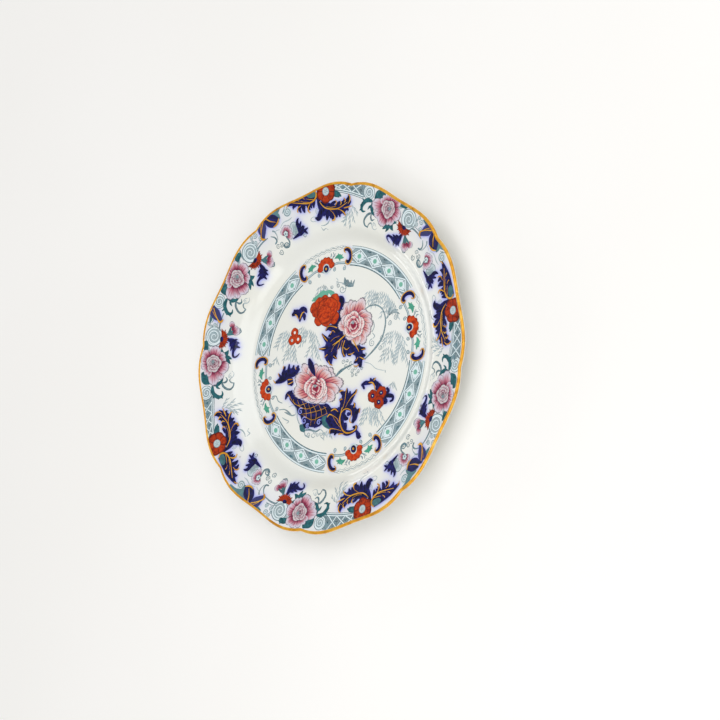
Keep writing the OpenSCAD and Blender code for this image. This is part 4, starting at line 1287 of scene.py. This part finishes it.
def basket():
    """The cobalt basket the lower peony stands in."""
    weave = piece("centre_basket", "cobalt", ["centre_basket"], "cobalt", -0.01)
    weave.strokes(flat, (
        [(-45.0, -32.2, 1.4), (-44.2, -29.6, 3.2), (-41.4, -28.0, 4.2), (-38, -31.4, 5.6)],
        [(-40.0, -26.2, 1.6), (-41.0, -28.6, 4.0)],
        [(-39, -31, 5), (-31, -35.0, 7.4), (-23, -38.2, 9.6), (-13, -38.4, 9.6), (-4, -37.4, 8.0),
         (0, -38, 5)],
        [(-27, -38, 6), (-25.2, -43.4, 5), (-21, -45, 7), (-14, -45.4, 8), (-9.6, -43, 6)],
        [(-22, -47.4, 5), (-16, -48.4, 4.6), (-12, -48.4, 4)],
        [(-7.4, -46.8, 3.8), (-10.4, -48.4, 3.8), (-12.6, -50.4, 1.6)],
        [(-23.4, -48.0, 3.0), (-22, -50.6, 2.2), (-18.6, -51, 1.5)],
        [(-31.6, -38.0, 2.4), (-29.6, -41.2, 2.6), (-26.6, -42.4, 2.0)],
        [(-5, -34, 3.0), (-2.4, -34.4, 2.2), (0.6, -36, 1.0)],
    ))
    wires = piece("centre_basket_gold", "gold", slot="gold", extra=-0.1)
    across = ([(-43.6, -28.6, 0.4), (-36.5, -34.2, 0.6), (-31, -36.0, 0.5), (-23.5, -33.8, 0.5)],
              [(-34.5, -35.4, 0.4), (-24, -38.0, 0.6), (-16, -36.0, 0.5), (-12.5, -34.0, 0.4)],
              [(-27, -42.2, 0.4), (-19.5, -40.6, 0.6), (-10, -38.0, 0.6), (-4, -35.4, 0.4)],
              [(-25, -43.0, 0.4), (-16, -45.4, 0.6), (-8.5, -42.6, 0.6), (-2.0, -39.6, 0.5)])
    up = ([(-41.8, -29.2, 0.4), (-40.0, -31.6, 0.5)], [(-37.4, -32.0, 0.4), (-35.4, -35.6, 0.5)],
          [(-33.0, -32.2, 0.4), (-29.2, -37.6, 0.5)],
          [(-28.4, -32.4, 0.4), (-23.6, -38.2, 0.6), (-21.8, -44.4, 0.5)],
          [(-22.0, -33.8, 0.4), (-18.4, -39.4, 0.6), (-17.0, -44.8, 0.5), (-16.4, -49.4, 0.4)],
          [(-17.4, -34.4, 0.4), (-13.2, -39.4, 0.6), (-12.4, -44.0, 0.5), (-13, -48.0, 0.4)],
          [(-12.0, -33.8, 0.4), (-8.6, -37.6, 0.6), (-7.0, -41.8, 0.5)],
          [(-6.4, -34.8, 0.4), (-3.6, -37.6, 0.6), (-2.6, -39.8, 0.4)])
    wires.strokes(flat, across + up, 1.0, 0.58)
    foot = piece("basket_foot", "leaf", slot="teal_print")
    foot.strokes(flat, (
        [(-26.6, -50.6, 2.0), (-24.6, -52.4, 4.4), (-22.2, -54.0, 2.0)],
        [(-25, -50.6, 3.0), (-22.4, -51.4, 3.0)],
        [(-9.0, -44.0, 1.5), (-4, -43.6, 5.0), (2, -45.4, 7.0), (7, -48.6, 5.0)],
        [(-7, -46.0, 1.5), (-2, -48.0, 3.6), (4, -50.0, 2.4)],
        [(-1, -37.6, 2.0), (2, -38.6, 3.0), (1.6, -41.6, 2.4)],
    ), 0.95)
    lines = piece("basket_scrolls", "print", slot="teal_print", extra=0.07)
    for s, tone in (
        ([(-21.6, -53.4, 0.9), (-17, -52.6, 1.3), (-11, -53.4, 1.2), (-7.2, -51.6, 0.7)], 0.9),
        ([(-21.8, -54.4, 0.6), (-20.4, -57.0, 0.8), (-16.6, -58.2, 0.7)], 0.7),
        ([(-13.6, -55.4, 0.4), (-14.6, -57.0, 0.6), (-12.2, -58.0, 0.5), (-11.0, -56.6, 0.4)], 0.5),
        ([(-34, -37.6, 0.5), (-31.6, -40.6, 0.7), (-31, -44.6, 0.8), (-28.4, -48.6, 0.8),
          (-26.4, -50.0, 0.6)], 0.5),
        ([(-40.6, -37.8, 0.4), (-36.6, -36.4, 0.5), (-33.6, -38.6, 0.5), (-32.8, -42.4, 0.5),
          (-35.4, -44.0, 0.5)], 0.4),
        ([(-49.6, -40.6, 0.6), (-44.6, -40.0, 0.7), (-40.0, -41.6, 1.1), (-36.6, -43.8, 0.9),
          (-33.8, -43.0, 0.5)], 0.7),
        ([(-44.0, -42.0, 0.5), (-41.0, -42.6, 1.4), (-38, -43.8, 0.6)], 0.7),
        ([(-45.6, -46.0, 0.4), (-42.6, -47.2, 0.7), (-38.6, -48.2, 0.6), (-40.4, -49.8, 0.4)], 0.5),
        ([(-58.6, -31.4, 0.4), (-55.0, -31.0, 0.7), (-52.0, -34.4, 0.7), (-47.8, -35.6, 0.5)], 0.75),
    ):
        lines.stroke(flat, s, tone)
    lines.spiral(flat, (-17.6, -56.2), 1.9, 0.4, 1.4, 200, 0.6, 0.6)
    for x in (-11.6, -8.6, -5.2, -2.4):
        lines.spiral(flat, (x, -55.8 + 0.2 * x % 2), 1.5, 0.3, 1.3, 140, 0.5, 0.45)
    for x, y in ((-4.6, -52.4), (-1.6, -54.6), (-3.4, -57.6)):
        lines.stroke(flat, [(x - 2.4, y + 1.0, 0.4), (x, y, 0.8), (x + 2.0, y - 1.4, 0.3)], 0.35)
    hooks = piece("basket_hooks", "cobalt", slot="cobalt", extra=0.06)
    for c, r in (((-28.4, -40.2), 2.6), ((-23.4, -46.6), 2.9), ((-9.0, -46.6), 2.0), ((-19.6, -50.0), 1.6)):
        hooks.spiral(flat, c, r, 0.4, 1.2, 60, 0.9, 0.0)


def sprigs():
    """The small red sprigs beside the peonies, with their cobalt leaves, eyes and gold."""
    red = piece("centre_sprigs", "red", ["centre_sprigs"], "iron_red")
    for c in ((38.6, -24.2), (46.4, -21.0), (45.2, -28.2)):
        red.disc(flat, c, 4.8, 0.85, lobes=6, depth=0.10, turn=c[0] * 9)
        for k in range(6):
            a = math.radians(60 * k + 10)
            red.petal(flat, (c[0] + 1.4 * math.cos(a), c[1] + 1.4 * math.sin(a)),
                      (c[0] + 4.5 * math.cos(a), c[1] + 4.5 * math.sin(a)), 3.6, 0.95)
    eyes = piece("sprig_eyes", "cobalt", slot="cobalt", extra=0.12)
    for c in ((38.6, -24.0), (46.2, -21.2), (45.2, -28.0)):
        eyes.disc(flat, c, 1.7)
    tips = piece("sprig_pips", "print", slot="teal_print", extra=0.32)
    for c in ((38.6, -24.0), (46.2, -21.2), (45.2, -28.0)):
        tips.disc(flat, c, 0.5, 0.1)
    blue = piece("sprig_leaves", "cobalt", slot="cobalt")
    blue.strokes(flat, (
        [(27.6, -17.0, 2.0), (29.4, -19.2, 1.8)],
        [(27.2, -17.0, 2.2), (30.0, -15.4, 3.2), (33.4, -15.0, 3.0), (37, -13.8, 3.4), (41, -15.4, 3.6),
         (45, -17.0, 2.4)],
        [(34.4, -12.4, 2.0), (35.6, -14.4, 2.6)],
        [(37.4, -12.2, 2.0), (38.6, -14.6, 3.0)],
        [(41.2, -14.6, 2.4), (41.6, -18.6, 3.0)],
        [(43.6, -15.6, 2.0), (43.4, -18.6, 3.0)],
        [(51, -17.8, 2.0), (52.6, -19.4, 2.6), (50.6, -21.4, 2.0)],
        [(50, -23.0, 3.0), (54, -22.6, 3.2), (57.2, -23.0, 2.6), (57.6, -25.4, 2.0), (55.6, -26.6, 1.4)],
        [(49.6, -25.0, 3.0), (51.6, -27.0, 3.6), (50.0, -28.4, 2.0)],
        [(42.4, -24.8, 2.4), (43.4, -25.2, 2.0)],
        [(47.6, -25.0, 2.0), (50.4, -24.4, 2.4)],
    ))
    gold = piece("sprig_gold", "gold", slot="gold")
    gold.strokes(flat, (
        [(33.4, -14.9, 0.5), (36.6, -14.8, 1.1), (38.8, -16.8, 1.0), (40.0, -19.6, 0.7)],
        [(38.9, -11.4, 0.9), (37.8, -13.0, 0.6)],
    ))
    berries = piece("centre_berries", "orange", ["centre_berries"], "iron_red")
    for c in ((-45.6, 16.4), (-47.2, 10.6), (-41.4, 11.8)):
        berries.disc(flat, c, 3.7, 0.8, lobes=5, depth=0.08, hole=0.32, turn=c[1] * 11)
    holes = piece("berry_hearts", "leaf", slot="teal_print")
    holes.stroke(flat, [(-46.6, 13.4, 1.6), (-44.0, 13.0, 1.4)], 0.9)
    fly = piece("centre_butterfly", "cobalt", ["centre_butterfly"], "cobalt")
    fly.strokes(flat, (
        [(-50.4, 29.6, 2.0), (-47.6, 31.4, 4.0), (-44.4, 30.6, 5.0), (-42.6, 28.0, 3.6),
         (-42.4, 25.6, 2.0)],
        [(-44.4, 31, 4.0), (-41.4, 33.6, 4.6), (-38.4, 33.4, 3.4), (-37.0, 32.0, 1.6)],
        [(-41.6, 30.6, 3.4), (-38.8, 29.2, 3.6), (-38.0, 26.8, 2.0)],
        [(-49.4, 32.6, 1.6), (-46.6, 32.0, 2.6)],
        [(-50.4, 28.6, 1.0), (-48.4, 29.8, 2.4)],
    ))
    fly_gold = piece("butterfly_gold", "gold", slot="gold")
    fly_gold.strokes(flat, (
        [(-47.6, 29.6, 0.6), (-45.8, 28.6, 1.0), (-44.4, 26.8, 0.5)],
        [(-42.4, 26.6, 0.5), (-41.6, 29.4, 1.0), (-40.8, 31.2, 0.9), (-39.0, 32.0, 0.5)],
    ))


def print_sprays():
    """The printed branches, faint willows and curls behind everything else."""
    lines = piece("centre_stems", "print", slot="teal_print")
    for s, tone in (
        ([(19.8, 37.4, 0.8), (24, 39.8, 1.2), (30, 40.4, 1.1), (36, 37.6, 1.1), (39.6, 32, 1.2),
          (40.6, 26, 1.3), (39.6, 18.6, 1.4), (36.4, 12.6, 1.8), (31.4, 6.6, 1.4), (26, 1.4, 0.9)], 0.8),
        ([(41.0, 31.6, 0.8), (43.2, 34.6, 1.4), (47.4, 36.4, 1.2), (52.2, 35.4, 0.6)], 0.9),
        ([(41.8, 35.0, 1.6), (42.6, 38.0, 2.2), (43.6, 40.4, 0.8)], 0.75),
        ([(44.0, 35.6, 1.8), (47, 37.8, 1.8), (50.4, 38.0, 0.6)], 0.75),
        ([(48.6, 36.4, 1.2), (50.6, 36.2, 1.2), (52.0, 35.2, 0.6)], 0.7),
        ([(0.8, -13.0, 0.8), (2.4, -10.6, 2.0), (5.4, -8.0, 2.2), (9.6, -5.6, 1.2), (16, -2.6, 0.6)], 0.95),
        ([(-12, 53.6, 0.4), (-10.8, 56.6, 0.6), (-12.6, 58.0, 0.5)], 0.3),
        ([(-12.0, 55.4, 0.6), (-6, 54.8, 0.6), (-2, 54.6, 1.0)], 0.45),
        ([(-4.6, 58.6, 0.8), (-3.2, 55.8, 3.4), (0, 54.0, 3.8), (4.6, 53.2, 1.2)], 0.85),
        ([(-1.4, 57.4, 0.8), (0, 55, 2.0)], 0.8),
        ([(2, 57.0, 0.8), (2.4, 54.4, 2.2)], 0.8),
        ([(5.2, 57.4, 0.8), (4.2, 54.2, 2.0)], 0.7),
        ([(-6.4, 51.8, 0.5), (-3.0, 50.6, 0.6), (-1.4, 52.6, 0.5)], 0.35),
        ([(26, -0.6, 0.5), (32, -1.6, 0.5), (38, -4.6, 0.5), (45.4, -5.4, 0.4)], 0.35),
        ([(46.6, -5.2, 0.6), (47.0, -6.6, 0.6)], 0.7),
        ([(28.6, 29.4, 0.5), (30.4, 25.4, 0.8), (29.2, 21.4, 0.7)], 0.6),
        ([(29.8, 20.4, 0.5), (32.2, 18.4, 0.7), (30.8, 16.6, 0.4)], 0.6),
    ):
        lines.stroke(flat, s, tone)
    for c, r, hand in (
        ((-5.2, 50.4), 3.8, -1), ((-9.6, 52.8), 1.6, 1), ((49.6, 32.8), 2.0, 1), ((44.4, 28.4), 1.9, -1),
        ((40.0, 17.0), 2.6, 1), ((38.8, 10.2), 1.8, -1), ((30.6, 13.4), 2.9, 1), ((26.4, 5.0), 1.0, 1),
    ):
        lines.spiral(flat, c, r, 0.4, 1.6, 100, 0.55, 0.65, hand)
    faint = piece("centre_willows", "print", slot="teal_print", extra=-0.005)
    faint.rise = FAINT_RISE
    rng = np.random.default_rng(7)
    # Each tree: crown, spread across it, number of fronds and their length
    trees = [((33, 51), 16, 8, 11), ((24, 52), 12, 6, 12), ((42, 46), 10, 6, 14), ((50, 24), 16, 8, 13),
             ((58, 16), 8, 6, 16), ((47, 12), 10, 5, 12), ((-54, 18), 12, 7, 16), ((-47, 6), 10, 5, 11),
             ((-31, 20), 14, 7, 14), ((-25, 10), 8, 4, 12), ((-38, 22), 8, 4, 8), ((37, -31), 12, 7, 15),
             ((44, -30), 7, 4, 12), ((-24, 53), 12, 5, 7), ((-60, -2), 4, 3, 6), ((1, -51), 8, 4, 6),
             ((56, -12), 5, 4, 5)]
    for (x, y), spread, count, length in trees:
        for k in range(count):
            lean = (k + 0.5) / count - 0.5
            willow(faint, flat, (x + lean * spread * 0.85, y - abs(lean) * 5),
                   -90 + lean * 56 + rng.uniform(-9, 9),
                   length * rng.uniform(0.65, 1.0), rng.uniform(0.26, 0.46))
    # Little clouds of curls between the two pink peonies
    curls = piece("centre_curls", "print", slot="teal_print")
    for x, y, r in (
        (6, -2, 1.8), (9, -4.4, 1.6), (12.2, -5.6, 2.0), (15.6, -7.4, 1.7), (13, -2.6, 1.5),
        (18.4, -5.6, 1.8), (21.4, -7.4, 1.5), (16.2, -10.4, 1.5), (9.6, -0.6, 1.2), (24.4, -5.4, 1.3),
        (20, -10, 1.2), (-22, 51.0, 1.4), (-26, 47.6, 1.4), (-15.6, 51.4, 1.4),
    ):
        curls.spiral(flat, (x, y), r, 0.4, 1.5, 60 * x, 0.5, 0.75)


for i, spot in enumerate(FLOWER_SPOTS):
    flower_group(i, spot)
for i, spot in enumerate(PEONY_SPOTS):
    peony_group(i, spot)
for i, spot in enumerate(DAISY_SPOTS):
    daisy_group(i, spot)
for i, spot in enumerate(PAIR_SPOTS):
    pair_group(i, spot)
pair_group(4, SINGLE_LEAF_SPOT, right=False)
for i, spot in enumerate(HALF_SPOTS):
    half_group(i, spot)
for i, (start, end) in enumerate(QUARTERS):
    ring_quarter(i, start, end)
for i, angle in enumerate(CARTOUCHES):
    cartouche(i, angle)
centre_red()
centre_pinks()
centre_cobalt()
basket()
sprigs()
print_sprays()
for decal in DECALS:
    decal.build()


# ---------------------------------------------------------------- the ware
def halo_values(x, y):
    """How much cobalt has bled into the glaze near each point: a blurred map of the cobalt decals."""
    cells, pitch = 540, 0.5

    def cell(place):
        """The row or column that a place in millimetres falls in."""
        return np.clip((place / pitch + cells / 2).astype(int), 0, cells - 1)

    grid = np.zeros((cells, cells))
    corner = [[0.7 if k == near else 0.1 for k in range(4)] for near in range(4)]
    for decal in DECALS:
        if decal.material is not M["cobalt"]:
            continue
        points = np.concatenate(decal.points)
        quads = np.concatenate(decal.faces)
        for share in [[0.25] * 4] + corner:
            spot = sum(points[quads[:, k]] * share[k] for k in range(4))
            grid[cell(spot[:, 1]), cell(spot[:, 0])] = 1
    reach = np.arange(-12, 13)
    bled = np.zeros_like(grid)
    for spread, weight in ((1.7, 0.55), (4.6, 0.5)):
        kernel = np.exp(-reach ** 2 / (2 * spread ** 2))
        kernel /= kernel.sum()
        blur = np.apply_along_axis(lambda a: np.convolve(a, kernel, "same"), 0, grid)
        bled += weight * np.apply_along_axis(lambda a: np.convolve(a, kernel, "same"), 1, blur)
    rim = np.clip((np.hypot(x, y) - 101) / 12, 0, 1) * 0.14
    return np.clip(bled[cell(y), cell(x)] * 1.7 + rim, 0, 0.85)


def build_ware():
    """Glazed face and back, bare foot and gold edge, all turned from one profile."""
    half = EDGE_WALL / 2
    lip_r = CREST - LIP_BULGE * half - 0.25
    lip_z = float(face_z(lip_r)) - half
    inner = FOOT_RADIUS - FOOT_WIDTH
    under_well = WELL_Z - WALL

    def face_points(radii, rise=0.0):
        return [(float(r), float(face_z(r)) + rise) for r in radii]

    def under_points(radii, rise=0.0):
        return [(float(r), float(face_z(r) - wall_at(r)) + rise) for r in radii]

    def lip_points(angles, swell=0.0):
        """Round the lip, at angles from straight up."""
        return [(lip_r + (LIP_BULGE * half + swell) * math.sin(a), lip_z + (half + swell) * math.cos(a))
                for a in angles]

    # Face: well, shoulder and rim in finer and finer rings, over the lip, and back inside the coat
    rings = np.concatenate([np.arange(HUB, 82, 2.0), np.arange(82, 99, 0.8), np.arange(99.2, lip_r, 0.75)])
    face_loop = face_points(rings) + lip_points(np.linspace(0.15, math.pi / 2, 7))
    face_loop += face_points((lip_r, 112, 105, 98, 95, 92, 89, 86, 83, 60, 30, HUB), -GLAZE)
    face = lathe("face_glaze", face_loop, TURNS, centred=True)

    # Back: under the lip, in to the foot ring and down its outside
    rings = np.concatenate([np.arange(lip_r, 99, -1.5), np.arange(99, 82, -1.0),
                            np.arange(82, FOOT_RADIUS, -1.0)])
    back_loop = lip_points(np.linspace(math.pi / 2, math.pi - 0.05, 7)) + under_points(rings)
    back_loop += [(FOOT_RADIUS + 0.4, float(face_z(FOOT_RADIUS) - WALL) - 0.3), (FOOT_RADIUS, 2.2),
                  (FOOT_RADIUS - 0.1, 1.3), (FOOT_RADIUS - 0.6, 1.4), (FOOT_RADIUS - 0.6, 3.4)]
    back_loop += under_points((82, 86, 90, 94, 98, 108, lip_r - 1), GLAZE)
    back = lathe("back_glaze", back_loop, TURNS)

    # Clay: the rounded foot ring, and a sheet inside the wall that only the foot shows
    clay_loop = [(inner - 0.5, 3.4), (inner - 0.1, 2.9), (inner, 1.3), (inner + 0.4, 0.5),
                 (inner + 1.1, 0.05), (inner + 1.6, 0.0), (FOOT_RADIUS - 1.6, 0.0),
                 (FOOT_RADIUS - 1.1, 0.05), (FOOT_RADIUS - 0.4, 0.5), (FOOT_RADIUS - 0.15, 1.4),
                 (FOOT_RADIUS - 0.5, 3.6), (FOOT_RADIUS - 0.5, WELL_Z - 2.2)]
    rings = np.arange(80, lip_r - 4, 2.5)
    clay_loop += face_points(rings, -2.2) + face_points(rings[::-1], -1.2) + [(inner - 0.5, WELL_Z - 1.2)]
    clay = lathe("clay_body", clay_loop, TURNS // 2)

    # Glazed recess inside the foot ring
    roof = [(r, under_well + 0.6) for r in (HUB, 40, inner + 0.3)]
    recess = [(inner + 0.3, under_well - 0.35), (inner - 0.3, under_well - 0.25),
              (inner - 0.5, under_well - 0.05)]
    recess += [(r, under_well) for r in np.arange(HUB, inner - 0.5, 3.0)[::-1]]
    well_back = lathe("well_back_glaze", roof + recess, TURNS // 2, centred=True)

    # Gold: a thin skin over the lip and the outermost part of the face
    skin = 0.1
    angles = np.linspace(0.15, math.pi / 2 - 0.15, 9)
    gilt_r = CREST - GILT_WIDTH - 0.4
    gilt_loop = face_points([gilt_r], skin * 0.4) + face_points(np.linspace(gilt_r + 0.15, lip_r, 4), skin)
    gilt_loop += lip_points(angles, skin) + lip_points(angles[::-1], -skin)
    gilt_loop += face_points(np.linspace(lip_r, gilt_r, 4), -skin)
    gilt = lathe("gilt_edge", gilt_loop, TURNS)
    for obj, slot, node, kind in (
        (face, "glaze", "face_glaze", "glaze"), (back, "glaze", "back_glaze", "glaze"),
        (clay, "clay", "clay_body", "clay"), (gilt, "gold", "gilt_edge", "gold"),
        (well_back, "glaze", None, "glaze"),
    ):
        mesh = obj.data
        mesh.materials.append(M[kind])
        co = np.zeros(len(mesh.vertices) * 3)
        mesh.vertices.foreach_get("co", co)
        co = co.reshape(-1, 3) / MM
        on_face = co[:, 2] > face_z(np.hypot(co[:, 0], co[:, 1])) - 0.1
        halo = halo_values(co[:, 0], co[:, 1]) * on_face if obj is face else np.zeros(len(co))
        float_layer(mesh, "halo", halo)
        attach(obj, "root")
        if node:
            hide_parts(node)


build_ware()


# ---------------------------------------------------------------- stage, light and camera
def build_floor():
    """A pale floor a hair under the foot ring, wide enough for every view."""
    half, under = 1.6, -0.0002
    corners = [(-half, -half), (half, -half), (half, half), (-half, half)]
    mesh = bpy.data.meshes.new("floor")
    mesh.from_pydata([(x, y, under) for x, y in corners], [], [(0, 1, 2, 3)])
    floor = link(bpy.data.objects.new("floor", mesh))
    n = Nodes("pale_floor")
    tint = n.ramp(n.noise(3.0, 2.0), [(0.3, srgb("F8F7F4")), (0.7, srgb("FBFAF8"))])
    mesh.materials.append(n.finish(tint, 0.8, specular=0.1))


def area(name, place, target, size, power):
    """A rectangular light, width and height in metres and power in watts, aimed at the target."""
    light = bpy.data.lights.new(name, "AREA")
    light.shape = "RECTANGLE"
    light.size, light.size_y = size
    light.energy = power
    obj = link(bpy.data.objects.new(name, light))
    obj.location = place
    obj.rotation_euler = (Vector(target) - Vector(place)).to_track_quat("-Z", "Y").to_euler()


def build_lights():
    """A large soft key light, a weaker fill, a low back light and an even studio sky."""
    scene = bpy.context.scene
    scene.view_settings.view_transform = "Standard"
    world = bpy.data.worlds.new("studio")
    world.use_nodes = True
    world.node_tree.nodes["Background"].inputs[0].default_value = (1.0, 0.99, 0.975, 1)
    world.node_tree.nodes["Background"].inputs[1].default_value = 0.34
    scene.world = world
    area("key", (0.45, 0.50, 1.40), (0, 0, 0), (1.9, 1.9), 17.5)
    area("fill", (0.6, -0.9, 0.9), (0, 0, 0), (0.9, 0.9), 7)
    area("back", (-1.3, 0.1, 0.25), (0, 0, 0.02), (1.2, 0.3), 3.5)


def build_camera():
    """Looks down on the plate along the photographer's line, rolled so that the well's top is upper left."""
    azimuth, elevation, roll = math.radians(-5.78), math.radians(47.56), math.radians(77.4)
    distance = 1.931
    shift_right, shift_down = 0.0160, 0.0008
    level = math.cos(elevation)
    away = Vector((level * math.cos(azimuth), level * math.sin(azimuth), math.sin(elevation)))
    right_level = Vector((-math.sin(azimuth), math.cos(azimuth), 0))
    up_level = away.cross(right_level)
    up = up_level * math.cos(roll) + right_level * math.sin(roll)
    right = up.cross(away)
    target = Vector((0, 0, WELL_Z * MM)) + right * shift_right - up * shift_down
    camera = bpy.data.cameras.new("camera")
    camera.lens = 135
    camera.sensor_width = 36
    obj = link(bpy.data.objects.new("camera", camera))
    turn = Matrix((right, up, away)).transposed()
    obj.matrix_world = Matrix.Translation(target + away * distance) @ turn.to_4x4()
    bpy.context.scene.camera = obj


build_floor()
build_lights()
build_camera()

bpy.context.view_layer.update()
